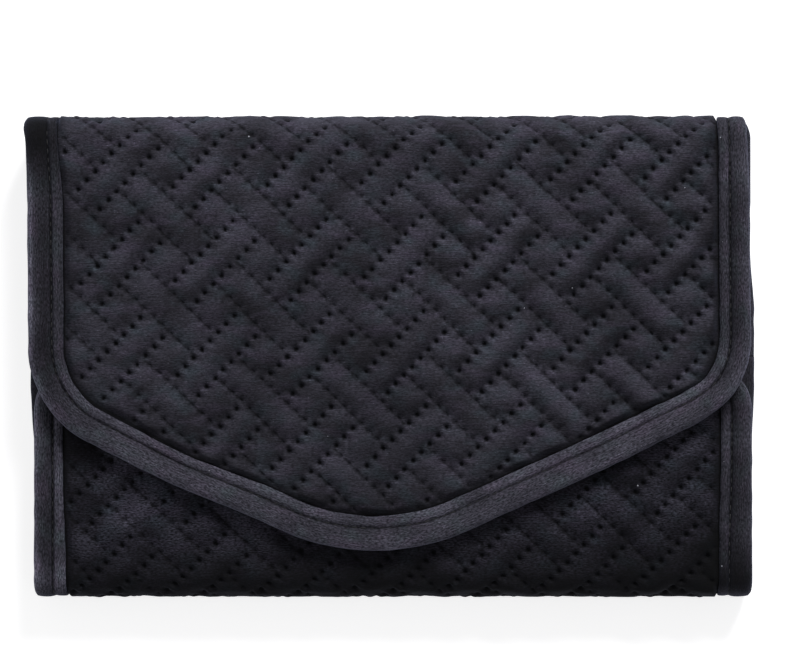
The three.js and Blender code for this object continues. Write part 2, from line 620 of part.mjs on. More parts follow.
// The flap half of the snap: plate against the lining, and a nub that sinks into the front half.
function flapSnap(x, v) {
  const shankEnd = (WADDING_OUT + WADDING_IN) / 2 + BACKING_THICKNESS / 2 + LAYER_GAP;
  const nubRadius = SNAP_BORE_RADIUS - SNAP_FIT;
  const points = [
    [0, shankEnd],
    [SNAP_SHANK_RADIUS, shankEnd],
    [SNAP_SHANK_RADIUS, FITTINGS],
    [SNAP_RADIUS, FITTINGS],
    [SNAP_RADIUS, FITTINGS + SNAP_PLATE],
    [nubRadius, FITTINGS + SNAP_PLATE],
    [nubRadius, FITTINGS + SNAP_PLATE + SNAP_NUB],
    [0, FITTINGS + SNAP_PLATE + SNAP_NUB],
  ];
  return turned(points, x, v, 0);
}

// The front half: a rimmed cup on the velvet, its shank through the quilting to its own backing plate.
function frontSnap(x, v) {
  const shankEnd = (WADDING_OUT + WADDING_IN) / 2 - BACKING_THICKNESS / 2 - LAYER_GAP;
  const floor = -LAYER_GAP - SNAP_FLOOR;
  const rim = -LAYER_GAP - SNAP_RIM;
  const points = [
    [0, floor],
    [SNAP_BORE_RADIUS, floor],
    [SNAP_BORE_RADIUS, rim],
    [SNAP_RADIUS, rim],
    [SNAP_RADIUS, -LAYER_GAP],
    [SNAP_SHANK_RADIUS, -LAYER_GAP],
    [SNAP_SHANK_RADIUS, shankEnd],
    [0, shankEnd],
  ];
  return turned(points, x, v, 0);
}

// A panel's frame on the far fold line of its neighbour, folded a quarter turn up.
function foldUp(parent, v) {
  const group = new THREE.Group();
  group.position.y = v;
  group.rotation.x = Math.PI / 2;
  parent.add(group);
  return group;
}

function addFold(group, name, length, stripStart, turnedRound) {
  const outline = (inset) => stripOutline(length, inset);
  addPanelLayers(group, name, { outline, length, foldedAtEnd: true, stripStart, turnedRound, padded: false });
  addSideBindings(group, name, length, FOLD_LINING_IN);
}

function addBack(group) {
  const outline = (inset) => stripOutline(BACK_LENGTH, inset);
  const length = BACK_LENGTH;
  addPanelLayers(group, "back", {
    outline,
    length,
    foldedAtEnd: true,
    stripStart: 0,
    turnedRound: false,
    padded: true,
  });
  addSideBindings(group, "back", length, PANEL_LINING_IN);
  addZipPocket(group, "back", BACK_ZIP_V);
  addRingBar(group);
  addNecklaceStraps(group);
}

function addFlap(group) {
  const length = FLAP_POINT_LENGTH;
  const cuts = snapCuts(FLAP_POINT_X, SNAP_V);
  addPanelLayers(group, "flap", {
    outline: flapOutline,
    length,
    foldedAtEnd: false,
    stripStart: FLAP_START,
    turnedRound: false,
    padded: true,
    cuts: { wadding: cuts.wadding, lining: cuts.hole },
  });
  addPiece(group, "flap_binding", edgeBinding(flapOutline, length), bindingFinish());
  addPiece(group, "flap_snap", flapSnap(FLAP_POINT_X, SNAP_V), steelFinish());
  addPiece(group, "flap_snap_backing", backingPlate(FLAP_POINT_X, SNAP_V), steelFinish());
  addEarringPanel(group);
}

function addFront(group) {
  const length = FRONT_LENGTH;
  const snapX = -FLAP_SHIFT - FLAP_POINT_X;
  const snapV = BACK_LENGTH - SNAP_V;
  const cuts = snapCuts(snapX, snapV);
  const seat = disc(SNAP_RADIUS + BUTT_GAP, [-TALLEST, 0], snapX, snapV);
  addPanelLayers(group, "front", {
    outline: frontOutline,
    length,
    foldedAtEnd: false,
    stripStart: -BOTTOM_FOLD_LENGTH,
    turnedRound: true,
    padded: true,
    cuts: { wadding: cuts.wadding, quilt: seat.add(cuts.hole) },
  });
  addPiece(group, "front_binding", edgeBinding(frontOutline, length), bindingFinish());
  addPiece(group, "front_snap", frontSnap(snapX, snapV), steelFinish());
  addPiece(group, "front_snap_backing", backingPlate(snapX, snapV), steelFinish());
  addZipPocket(group, "front", FRONT_ZIP_V);
}

const back = new THREE.Group();
back.position.set(BODY_CENTRE_X, -BACK_LENGTH / 2, PUFF_HEIGHT);
addBack(back);

const topFold = foldUp(back, BACK_LENGTH);
addFold(topFold, "top_fold", TOP_FOLD_LENGTH, BACK_LENGTH, false);

const flap = foldUp(topFold, TOP_FOLD_LENGTH);
flap.position.x = FLAP_SHIFT;
addFlap(flap);

const bottomSide = new THREE.Group();
bottomSide.rotation.z = Math.PI;
back.add(bottomSide);

const bottomFold = foldUp(bottomSide, 0);
addFold(bottomFold, "bottom_fold", BOTTOM_FOLD_LENGTH, 0, true);

const front = foldUp(bottomFold, BOTTOM_FOLD_LENGTH);
addFront(front);

const clutch = new THREE.Group();
clutch.add(back);

export default clutch;
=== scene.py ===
"""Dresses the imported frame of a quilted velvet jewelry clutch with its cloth, bindings and fittings.

Lengths are millimetres until a mesh is made. A place on the cloth is (x, s, t): x across, s along the one
long strip from the front (negative) over the back to the flap, and t inwards from the velvet's outer face.
"""

import logging
import math
from collections.abc import Callable, Sequence
from dataclasses import dataclass
from enum import Enum

import bpy
import numpy as np
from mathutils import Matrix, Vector

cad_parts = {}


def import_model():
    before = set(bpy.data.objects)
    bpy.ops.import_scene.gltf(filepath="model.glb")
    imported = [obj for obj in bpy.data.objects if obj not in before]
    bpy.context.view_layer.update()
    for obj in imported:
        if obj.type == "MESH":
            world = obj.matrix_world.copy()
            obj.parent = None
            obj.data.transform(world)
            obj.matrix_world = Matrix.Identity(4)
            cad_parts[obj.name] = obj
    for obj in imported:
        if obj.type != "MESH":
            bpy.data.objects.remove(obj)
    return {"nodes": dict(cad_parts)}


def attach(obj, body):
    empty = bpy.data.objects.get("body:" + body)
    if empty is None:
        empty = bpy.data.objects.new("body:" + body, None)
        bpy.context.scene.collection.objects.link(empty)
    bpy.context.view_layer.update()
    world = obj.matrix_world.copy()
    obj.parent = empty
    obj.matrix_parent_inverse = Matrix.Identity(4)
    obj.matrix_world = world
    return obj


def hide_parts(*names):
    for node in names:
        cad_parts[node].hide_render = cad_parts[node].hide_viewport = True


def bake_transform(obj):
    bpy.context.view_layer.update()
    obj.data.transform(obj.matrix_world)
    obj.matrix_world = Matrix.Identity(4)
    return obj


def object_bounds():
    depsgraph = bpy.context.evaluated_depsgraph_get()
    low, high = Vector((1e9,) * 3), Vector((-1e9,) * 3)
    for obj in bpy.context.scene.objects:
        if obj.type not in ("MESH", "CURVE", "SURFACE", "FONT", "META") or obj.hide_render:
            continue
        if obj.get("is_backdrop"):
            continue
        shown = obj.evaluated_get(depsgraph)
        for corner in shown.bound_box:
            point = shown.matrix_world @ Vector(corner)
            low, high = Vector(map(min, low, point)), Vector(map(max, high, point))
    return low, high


LOG = logging.getLogger("clutch")
MM = 0.001
Points = np.ndarray
Faces = list
Mesh = tuple[Points, Faces]
Piece = bpy.types.Object
Material = bpy.types.Material
Tree = bpy.types.NodeTree
Outline = tuple[tuple[float, float], ...]
Socket = bpy.types.NodeSocket


# Small helpers


def linear(code: str) -> tuple[float, float, float, float]:
    """Turns an sRGB hex colour into a linear one.

    Args:
        code: six hex digits after a hash.

    Returns:
        Red, green, blue and an alpha of 1.
    """
    parts = [int(code[i : i + 2], 16) / 255 for i in (1, 3, 5)]
    lin = [p / 12.92 if p <= 0.04045 else ((p + 0.055) / 1.055) ** 2.4 for p in parts]
    return (lin[0], lin[1], lin[2], 1.0)


def ramp(value: Points, low: float, high: float) -> Points:
    """A smooth step from 0 at low to 1 at high."""
    share = np.clip((np.asarray(value, float) - low) / (high - low), 0, 1)
    return share * share * (3 - 2 * share)


def soft_noise(u: Points, v: Points, seed: int) -> Points:
    """Smooth random waves, one per unit of u and v.

    Args:
        u: first coordinate, in wave lengths.
        v: second coordinate, in wave lengths.
        seed: picks the pattern.

    Returns:
        Values between -1 and 1.
    """
    size = 128
    table = np.random.default_rng(seed).uniform(-1, 1, (size, size))
    iu, iv = np.floor(u).astype(int), np.floor(v).astype(int)
    fu, fv = u - iu, v - iv
    fu, fv = fu * fu * (3 - 2 * fu), fv * fv * (3 - 2 * fv)
    a, b = table[iu % size, iv % size], table[(iu + 1) % size, iv % size]
    c, d = table[iu % size, (iv + 1) % size], table[(iu + 1) % size, (iv + 1) % size]
    return (a * (1 - fu) + b * fu) * (1 - fv) + (c * (1 - fu) + d * fu) * fv


def outward(points: Points, faces: Faces) -> Faces:
    """Turns all faces round if the closed mesh is inside out.

    Args:
        points: vertices, one row each.
        faces: vertex numbers of each face.

    Returns:
        The faces, with their normals pointing out.
    """
    volume = 0.0
    for face in faces:
        p = points[list(face)]
        for i in range(1, len(face) - 1):
            volume += float(np.dot(p[0], np.cross(p[i], p[i + 1])))
    return faces if volume > 0 else [tuple(reversed(f)) for f in faces]


def make_piece(
    name: str,
    points: Points,
    faces: Faces,
    finish: Material,
    cloth: Points | None = None,
    marks: dict[str, Points] | None = None,
    flat_from: int | None = None,
) -> Piece:
    """Makes a mesh object out of points in millimetres.

    Args:
        name: the piece's name.
        points: vertices, one row each, in the closed clutch's frame.
        faces: vertex numbers of each face.
        finish: its material.
        cloth: place of each vertex on the flat cloth, in millimetres.
        marks: values for each vertex that the material reads.
        flat_from: number of the first face that is shaded flat, such as a cut end.

    Returns:
        The new object.
    """
    mesh = bpy.data.meshes.new(name)
    mesh.from_pydata((np.asarray(points, float) * MM).tolist(), [], [list(map(int, f)) for f in faces])
    smooth = np.ones(len(faces), bool)
    if flat_from is not None:
        smooth[flat_from:] = False
    mesh.polygons.foreach_set("use_smooth", smooth)
    if cloth is not None:
        corners = np.empty(len(mesh.loops), np.int32)
        mesh.loops.foreach_get("vertex_index", corners)
        layer = mesh.uv_layers.new(name="cloth")
        layer.data.foreach_set("uv", (np.asarray(cloth, float)[corners] * MM).astype(np.float32).ravel())
    for key, values in (marks or {}).items():
        attribute = mesh.attributes.new(key, "FLOAT", "POINT")
        attribute.data.foreach_set("value", np.asarray(values, np.float32).ravel())
    mesh.materials.append(finish)
    mesh.update()
    piece = bpy.data.objects.new(name, mesh)
    bpy.context.scene.collection.objects.link(piece)
    return piece


def settle(piece: Piece, slot: str, body: str, *nodes: str) -> None:
    """Hides the CAD nodes that a piece stands for and ties it to the body that it rides on."""
    if nodes:
        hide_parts(*nodes)
    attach(piece, body)


def grid_faces(rows: int, cols: int, start: int = 0) -> Points:
    """Quads of a grid of vertices, facing out where s runs up the rows and x along the columns."""
    i, j = np.meshgrid(np.arange(rows - 1), np.arange(cols - 1), indexing="ij")
    a = (start + i * cols + j).ravel()
    return np.stack([a, a + cols, a + cols + 1, a + 1], 1)


def slab(outer: Points, inner: Points, rows: Sequence[int], cols: Sequence[int]) -> tuple[Points, Faces, int]:
    """Closes a fine outer grid and a coarser inner grid into one thick sheet.

    Args:
        outer: fine grid of points, (n, m, 3).
        inner: coarse grid, whose nodes lie behind the fine grid's rows and cols.
        rows: the fine rows that the coarse rows stand behind.
        cols: the fine columns that the coarse columns stand behind.

    Returns:
        The points, the faces, and the number of the first face of the rim.
    """
    n, m = outer.shape[:2]
    p, q = inner.shape[:2]
    base = n * m
    faces = grid_faces(n, m).tolist() + grid_faces(p, q, base)[:, ::-1].tolist()
    rim = len(faces)
    for j in range(q - 1):
        span = list(range(cols[j], cols[j + 1] + 1))
        faces.append(span + [base + j + 1, base + j])
        last = [(n - 1) * m + c for c in reversed(span)]
        faces.append(last + [base + (p - 1) * q + j, base + (p - 1) * q + j + 1])
    for i in range(p - 1):
        span = list(range(rows[i], rows[i + 1] + 1))
        faces.append([r * m for r in reversed(span)] + [base + i * q, base + (i + 1) * q])
        faces.append([r * m + m - 1 for r in span] + [base + (i + 1) * q + q - 1, base + i * q + q - 1])
    return np.concatenate([outer.reshape(-1, 3), inner.reshape(-1, 3)]), faces, rim


def plate(low: Points, top: Points) -> Mesh:
    """A closed plate between two grids that are alike, with its faces turned out."""
    points, faces, _ = slab(low, top, range(len(low)), range(len(low[0])))
    return points, outward(points, faces)


def swept(rings: Points, looped: bool = False) -> tuple[Points, Faces, int]:
    """Joins closed rings of points into one closed tube.

    Args:
        rings: (n, k, 3), ring after ring.
        looped: True if the last ring joins the first.

    Returns:
        The points, the faces, and the number of the first end face.
    """
    n, k = rings.shape[:2]
    faces = []
    for i in range(n if looped else n - 1):
        a, b = i * k, ((i + 1) % n) * k
        faces += [(a + j, a + (j + 1) % k, b + (j + 1) % k, b + j) for j in range(k)]
    ends = len(faces)
    if not looped:
        faces += [tuple(range(k - 1, -1, -1)), tuple(range((n - 1) * k, n * k))]
    points = rings.reshape(-1, 3)
    return points, outward(points, faces), ends


def merged(parts: Sequence[Mesh]) -> Mesh:
    """Puts several meshes into one list of points and faces."""
    points, faces, start = [], [], 0
    for part_points, part_faces in parts:
        points.append(part_points)
        faces += [[start + i for i in face] for face in part_faces]
        start += len(part_points)
    return np.concatenate(points), faces


def many_tubes(rings: Points) -> Mesh:
    """Closes many tubes that are alike.

    Args:
        rings: (tubes, rings, points of a ring, 3).

    Returns:
        Points and faces of them all.
    """
    _, one, _ = swept(rings[0])
    per = rings.shape[1] * rings.shape[2]
    return rings.reshape(-1, 3), [[i * per + k for k in face] for i in range(len(rings)) for face in one]


def walked(points: Points) -> Points:
    """How far along a line each of its points is."""
    return np.concatenate([[0], np.cumsum(np.linalg.norm(np.diff(points, axis=0), axis=1))])


# How far along a stitch, how thick and how high its thread is: it sinks into the cloth at both ends.
STITCH = ((0, 0.35, -0.6), (0.2, 0.95, 0.2), (0.5, 1, 0.5), (0.8, 0.95, 0.2), (1, 0.35, -0.6))


def stitches(starts: Points, ends: Points, normals: Points, radius: float) -> Mesh:
    """Short threads, each a little raised in its middle and sunk at both ends.

    Args:
        starts: first end of each thread.
        ends: last end of each thread.
        normals: direction out of the cloth at each thread.
        radius: of the thread.

    Returns:
        Points and faces of them all.
    """
    along = ends - starts
    side = np.cross(along, normals)
    side /= np.linalg.norm(side, axis=1, keepdims=True) + 1e-9
    turn = np.arange(5) * 2 * np.pi / 5
    around = side[:, None] * np.cos(turn)[None, :, None] + normals[:, None] * np.sin(turn)[None, :, None]
    rings = []
    for share, size, lift in STITCH:
        centre = starts + along * share + normals * (lift * radius)
        rings.append(centre[:, None] + around * size * radius)
    return many_tubes(np.stack(rings, 1))


def thread_line(
    line: Callable[[Points], Points],
    out: Callable[[Points], Points],
    length: float,
    pitch: float,
    radius: float,
) -> Mesh:
    """A row of stitches along a line.

    Args:
        line: gives the places at distances along it.
        out: gives the directions out of the cloth there.
        length: of the line.
        pitch: from stitch to stitch.
        radius: of the thread.

    Returns:
        Points and faces of the row.
    """
    at = np.arange(pitch / 2, length - pitch / 2, pitch)
    return stitches(line(at - 0.36 * pitch), line(at + 0.36 * pitch), out(at), radius)


# The folded strip and its outlines


@dataclass(frozen=True)
class Strip:
    """The clutch's one long strip of cloth, folded up as it lies closed."""

    back: float = 156.4
    top_fold: float = 22.7
    bottom_fold: float = 16.2
    back_z: float = 1.6
    point_x: float = -4.4
    bends: tuple[float, float, float, float] = (6.6, 5.4, 7.0, 7.0)
    body_half: float = 118.5
    flap_half: float = 119.3
    body_x: float = 1.3
    flap_x: float = -0.5
    soft: float = 5.0

    @property
    def flap_start(self) -> float:
        """Where the flap starts along the strip."""
        return self.back + self.top_fold

    @property
    def middles(self) -> tuple[float, float, float]:
        """The middles of the top fold, the bottom fold and the back, where sheets meet."""
        return self.back + self.top_fold / 2, -self.bottom_fold / 2, self.back / 2

    @property
    def corners(self) -> tuple[Points, Points]:
        """The fold lines: their places along the strip, and their (y, z)."""
        along = np.array([-self.bottom_fold, 0, self.back, self.flap_start])
        y = self.back / 2
        low, high = self.back_z, self.back_z + self.top_fold
        return along, np.array([[-y, low + self.bottom_fold], [-y, low], [y, low], [y, high]])

    def place(self, x: Points, s: Points, t: Points) -> Points:
        """Where places on the cloth are in the closed clutch.

        Args:
            x: across the strip.
            s: along the strip.
            t: inwards from the velvet's outer face.

        Returns:
            Points in millimetres.
        """
        x, s, t = (a.astype(float) for a in np.broadcast_arrays(x, s, t))
        along, spots = self.corners
        panel = np.searchsorted(along, s)
        near = np.maximum(panel - 1, 0)
        heading = np.pi + np.pi / 2 * panel
        far = s - along[near]
        y = spots[near, 0] + far * np.cos(heading) - t * np.sin(heading)
        z = spots[near, 1] + far * np.sin(heading) + t * np.cos(heading)
        near = np.abs(s[..., None] - along).argmin(-1)
        gap, bend = s - along[near], np.array(self.bends)[near]
        bent = np.abs(gap) < bend
        turn = (gap / bend + 1) * np.pi / 4
        before = np.pi + np.pi / 2 * near
        radius = bend - t
        ahead, aside = radius * np.sin(turn) - bend, bend - radius * np.cos(turn)
        y = np.where(bent, spots[near, 0] + ahead * np.cos(before) - aside * np.sin(before), y)
        z = np.where(bent, spots[near, 1] + ahead * np.sin(before) + aside * np.cos(before), z)
        return np.stack([x + self.shift(s), y, z], -1)

    def on_flap(self, s: Points) -> Points:
        """0 on the body and 1 on the flap."""
        return ramp(s, self.back + 3, self.flap_start - 2)

    def shift(self, s: Points) -> Points:
        """How far the strip's middle lies to the right: the flap lies a little to the left of the body."""
        return self.body_x + (self.flap_x - self.body_x) * self.on_flap(s)

    def half(self, s: Points) -> Points:
        """Half the strip's width."""
        return self.body_half + (self.flap_half - self.body_half) * self.on_flap(s)

    def between(self, s: Points, low: float, high: float) -> Points:
        """1 between two places and 0 beyond them, with soft ends."""
        return ramp(s, low - self.soft, low + self.soft) * (1 - ramp(s, high - self.soft, high + self.soft))

    def top_share(self, s: Points) -> Points:
        """1 on the top fold and 0 beyond it."""
        return self.between(s, self.back, self.flap_start)

    def bottom_share(self, s: Points) -> Points:
        """1 on the bottom fold and 0 beyond it."""
        return self.between(s, -self.bottom_fold, 0)

    def fold_share(self, s: Points) -> Points:
        """1 on the folds, where there is no wadding, and 0 on the panels."""
        return self.top_share(s) + self.bottom_share(s)

    def lining(self, s: Points) -> Points:
        """Depth of the lining's outer face."""
        return 2.6 - 1.3 * self.fold_share(s)


@dataclass(frozen=True)
class Edge:
    """The edge of a panel beyond its fold line: straight sides and arcs, joined by straight lines."""

    half: float
    arcs: tuple[tuple[float, float, float, float, float], ...]

    def knots(self, inset: float, step: float) -> Points:
        """Its two ends at the fold line and points on its arcs, from right to left, drawn in by inset.

        Args:
            inset: distance inwards.
            step: distance between the points of an arc.

        Returns:
            Rows of x, v and the direction out of the panel.
        """
        rows = [np.array([[self.half - inset, 0.0, 1.0, 0.0]])]
        for x, v, radius, first, last in self.arcs:
            turn = np.linspace(first, last, max(3, int(radius * (last - first) / step)))
            out = np.stack([np.cos(turn), np.sin(turn)], 1)
            rows.append(np.concatenate([np.array([x, v]) + out * (radius - inset), out], 1))
        rows.append(rows[0] * np.array([-1, 1, -1, 1]))
        return np.concatenate(rows)

    def line(self, inset: float = 0.0, step: float = 1.0) -> Points:
        """The whole edge as rows of x, v and the direction out, from right to left."""
        knots = self.knots(inset, step)
        gaps = np.linalg.norm(np.diff(knots[:, :2], axis=0), axis=1)
        reach = np.concatenate([[0], np.cumsum(gaps)])
        at = np.unique(np.concatenate([reach, np.arange(0, reach[-1], step)]))
        return np.stack([np.interp(at, reach, knots[:, i]) for i in range(4)], 1)

    @property
    def last(self) -> float:
        """The edge's farthest place from the fold line."""
        return float(self.knots(0.0, 1.0)[:, 1].max())

    def span(self, v: Points, inset: float) -> tuple[Points, Points]:
        """Where the panel starts and ends across, at a distance from its fold line, drawn in by inset."""
        line = self.line(inset, 0.25)
        top = int(line[:, 1].argmax())
        left, right = line[top:][::-1], line[: top + 1]
        return np.interp(v, left[:, 1], left[:, 0]), np.interp(v, right[:, 1], right[:, 0])

    def depth(self, x: Points, v: Points) -> Points:
        """Distance of places inwards from the edge."""
        best = np.full(np.broadcast_shapes(x.shape, v.shape), 99.0)
        for row in self.knots(0.0, 1.0):
            best = np.minimum(best, (row[0] - x) * row[2] + (row[1] - v) * row[3])
        return best


def flap_edge(half: float, point_x: float) -> Edge:
    """The flap's edge: wide round corners, slanted edges and a blunt point a little to the left."""
    point, slant, side, tip = 148.8, math.radians(24.3), 34.0, 74.0
    turn = math.pi / 2 - slant
    arcs = (
        (half - side, side, 0.0, turn),
        (point_x, tip, turn, math.pi - turn),
        (side - half, side, math.pi - turn, math.pi),
    )
    placed = []
    for x, radius, first, last in arcs:
        v = point - abs(x - point_x) * math.tan(slant) - radius / math.cos(slant)
        placed.append((x, v, radius, first, last))
    return Edge(half, tuple(placed))


def front_edge(half: float) -> Edge:
    """The front's edge: two rounded corners."""
    length, radius, square = 75.0, 14.0, math.pi / 2
    x, v = half - radius, length - radius
    return Edge(half, ((x, v, radius, 0.0, square), (-x, v, radius, square, math.pi)))


@dataclass(frozen=True)
class Panel:
    """A panel's own frame: x across, v away from its fold line, t inwards."""

    origin: tuple[float, float, float]
    signs: tuple[int, int, int]

    def place(self, x: Points, v: Points, t: Points) -> Points:
        """Where places on the panel are in the closed clutch."""
        parts = np.broadcast_arrays(np.asarray(x, float), np.asarray(v, float), np.asarray(t, float))
        return np.stack([o + k * p for o, k, p in zip(self.origin, self.signs, parts)], -1)


STRIP = Strip()
FLAP_EDGE = flap_edge(STRIP.flap_half, STRIP.point_x)
FRONT_EDGE = front_edge(STRIP.body_half)
FLAP_END = STRIP.flap_start + FLAP_EDGE.last
FRONT_END = -STRIP.bottom_fold - FRONT_EDGE.last
# Where the folds lie in the closed clutch: y of both, and z of the back, the flap and the front.
FOLD_Y, BACK_Z = STRIP.back / 2, STRIP.back_z
FLAP_Z, FRONT_Z = BACK_Z + STRIP.top_fold, BACK_Z + STRIP.bottom_fold
BACK = Panel((STRIP.body_x, -FOLD_Y, BACK_Z), (1, 1, 1))
FLAP = Panel((STRIP.flap_x, FOLD_Y, FLAP_Z), (1, -1, -1))
FRONT = Panel((STRIP.body_x, -FOLD_Y, FRONT_Z), (-1, 1, -1))
# Places x and v of the magnetic snap on the flap and on the front.
FLAP_SNAP = (STRIP.point_x, 118.31)
FRONT_SNAP = (6.2, 38.09)
# Depths t of the lining's inner face: fittings stand on it, and cloth lies a little over it.
FITTINGS = 3.4
ON_LINING = 3.42


def sides(s: Points, inset: float) -> tuple[Points, Points]:
    """Where the strip's left and right edges are, drawn in by inset."""
    half = STRIP.half(s) - inset
    left, right = -half, half
    for edge, v in ((FLAP_EDGE, s - STRIP.flap_start), (FRONT_EDGE, -STRIP.bottom_fold - s)):
        low, high = edge.span(v, inset)
        left, right = np.where(v > 0, low, left), np.where(v > 0, high, right)
    return left, right


def strip_grid(low: float, high: float, rows: int, cols: int, inset: float) -> tuple[Points, Points]:
    """A grid over the strip from edge to edge.

    Args:
        low: where it starts along the strip.
        high: where it ends.
        rows: number of rows along the strip.
        cols: number of columns across it.
        inset: distance from the edges.

    Returns:
        x and s of each point.
    """
    s = np.linspace(low, high, rows)
    left, right = sides(s, inset)
    ss, share = np.meshgrid(s, np.linspace(0, 1, cols), indexing="ij")
    return left[:, None] * (1 - share) + right[:, None] * share, ss


@dataclass(frozen=True)
class Lie:
    """How the binding lies at one place: its stray outwards, and how far inwards its seam and lip are."""

    place: float
    stray: float
    seam: float
    lip: float


def eased(value: Points, stops: Sequence[Lie], key: str) -> Points:
    """Goes smoothly from one stop's width to the next."""
    widths = [getattr(stop, key) for stop in stops]
    result = np.full(np.shape(value), widths[0])
    for i in range(len(stops) - 1):
        result = result + (widths[i + 1] - widths[i]) * ramp(value, stops[i].place, stops[i + 1].place)
    return result


@dataclass(frozen=True)
class TapeLie:
    """How the hand-fed binding lies on the outer faces: wide on the flap's left side, tight at its corner."""

    # Places round the flap are degrees about its middle, counted from the right over the point.
    top_right: Lie = Lie(-22, -1.2, 7.1, 11.0)
    right_side: Lie = Lie(-12, -0.5, 6.9, 10.5)
    right_side_end: Lie = Lie(18, 0.3, 6.6, 10.3)
    right_corner: Lie = Lie(26, -0.7, 8.3, 11.8)
    right_slant: Lie = Lie(43, 0.3, 7.4, 11.1)
    left_slant: Lie = Lie(118, 0.2, 7.1, 11.1)
    left_corner: Lie = Lie(135, 1.15, 6.4, 9.6)
    left_side: Lie = Lie(163, -0.9, 8.8, 12.6)
    left_side_end: Lie = Lie(190, -0.6, 8.4, 12.4)
    top_left: Lie = Lie(202, 0.0, 7.1, 10.2)
    middle: float = 229.1
    # Places on the front are millimetres along the strip.
    front_left: tuple[Lie, ...] = (Lie(-55, 0.3, 5.9, 9.2), Lie(-25, 0.4, 5.9, 10.3))
    front_right: tuple[Lie, ...] = (Lie(-60, 0.0, 6.8, 10.4), Lie(-30, 0.05, 7.6, 11.0))
    body: Lie = Lie(0, 0.55, 7.7, 10.8)

    @property
    def flap(self) -> tuple[Lie, ...]:
        """The stops round the flap, in order."""
        right = self.top_right, self.right_side, self.right_side_end, self.right_corner, self.right_slant
        return *right, self.left_slant, self.left_corner, self.left_side, self.left_side_end, self.top_left

    def at(self, x: Points, s: Points) -> tuple[Points, Points, Points]:
        """Stray outwards, and distances of seam and lip inwards, near a place on the strip."""
        angle = np.degrees(np.arctan2(s - self.middle, x))
        angle = np.where(angle < -90, angle + 360, angle)
        on_flap = ramp(s, STRIP.back - 4, STRIP.back + 8)
        on_front = 1 - ramp(s, -STRIP.bottom_fold, 0)
        right = ramp(x, -60, 60)
        found = []
        for key in ("stray", "seam", "lip"):
            usual = getattr(self.body, key)
            front = eased(s, self.front_left, key) * (1 - right) + eased(s, self.front_right, key) * right
            value = usual + on_flap * (eased(angle, self.flap, key) - usual)
            found.append(value + on_front * (front - usual))
        return found[0], found[1], found[2]


LIE = TapeLie()


class Joint(Enum):
    """The folds that cloth bends across: its bodies, and where the bend starts and ends (y, z).

    A bend reaches 8 mm from a corner of the top fold, and 7 mm from one of the bottom fold.
    """

    BACK_TOP = ("back", "top_fold", (FOLD_Y - 8, BACK_Z), (FOLD_Y, BACK_Z + 8))
    TOP_FLAP = ("top_fold", "flap", (FOLD_Y, FLAP_Z - 8), (FOLD_Y - 8, FLAP_Z))
    BACK_BOTTOM = ("back", "bottom_fold", (7 - FOLD_Y, BACK_Z), (-FOLD_Y, BACK_Z + 7))
    BOTTOM_FRONT = ("bottom_fold", "front", (-FOLD_Y, FRONT_Z - 7), (7 - FOLD_Y, FRONT_Z))

    def bend(self, piece: Piece) -> None:
        """Bakes a piece's transform into its mesh."""
        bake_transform(piece)


# Finishes


def add_node(
    tree: Tree, kind: str, inputs: dict | None = None, stops: Sequence = (), **settings: object
) -> bpy.types.Node:
    """Adds a node with its settings, values and links.

    Args:
        tree: the node tree.
        kind: the node's type, without the word ShaderNode.
        inputs: a value or an output socket for each input.
        stops: place and colour of each stop of a colour ramp.
        settings: the node's own settings.

    Returns:
        The node.
    """
    node = tree.nodes.new(f"ShaderNode{kind}")
    for key, value in settings.items():
        setattr(node, key, value)
    for key, value in (inputs or {}).items():
        if isinstance(value, Socket):
            tree.links.new(value, node.inputs[key])
        else:
            node.inputs[key].default_value = value
    for number, (place, code) in enumerate(stops):
        stop = node.color_ramp.elements[number]
        stop.position, stop.color = place, linear(code)
    return node


def noise(tree: Tree, where: Socket, size: Sequence[float], detail: float) -> Socket:
    """Noise with waves of a real size in millimetres along each axis."""
    turned = add_node(tree, "Mapping", {"Vector": where, "Scale": [1 / (s * MM) for s in size]})
    inputs = {"Vector": turned.outputs[0], "Scale": 1.0, "Detail": detail}
    return add_node(tree, "TexNoise", inputs).outputs[0]


class Finish:
    """A material with one shader, whose inputs are given with underscores for spaces."""

    def __init__(self, name: str, **sockets: object) -> None:
        """Starts the material."""
        self.material = bpy.data.materials.new(name)
        self.material.use_nodes = True
        self.tree = self.material.node_tree
        self.tree.nodes.clear()
        inputs = {key.replace("_", " "): value for key, value in sockets.items()}
        self.shader = add_node(self.tree, "BsdfPrincipled", inputs)
        add_node(self.tree, "OutputMaterial", {"Surface": self.shader.outputs[0]})

    def place(self) -> Socket:
        """Places in the piece's own frame."""
        return add_node(self.tree, "TexCoord").outputs["Object"]

    def done(self, colour: Socket, height: Socket, strength: float, distance: float) -> Material:
        """Links colour and relief.

        Args:
            colour: for the base colour.
            height: of the relief.
            strength: of the relief.
            distance: height of the relief in millimetres.

        Returns:
            The material.
        """
        self.tree.links.new(colour, self.shader.inputs["Base Color"])
        inputs = {"Strength": strength, "Distance": distance * MM, "Height": height}
        bump = add_node(self.tree, "Bump", inputs)
        self.tree.links.new(bump.outputs[0], self.shader.inputs["Normal"])
        return self.material


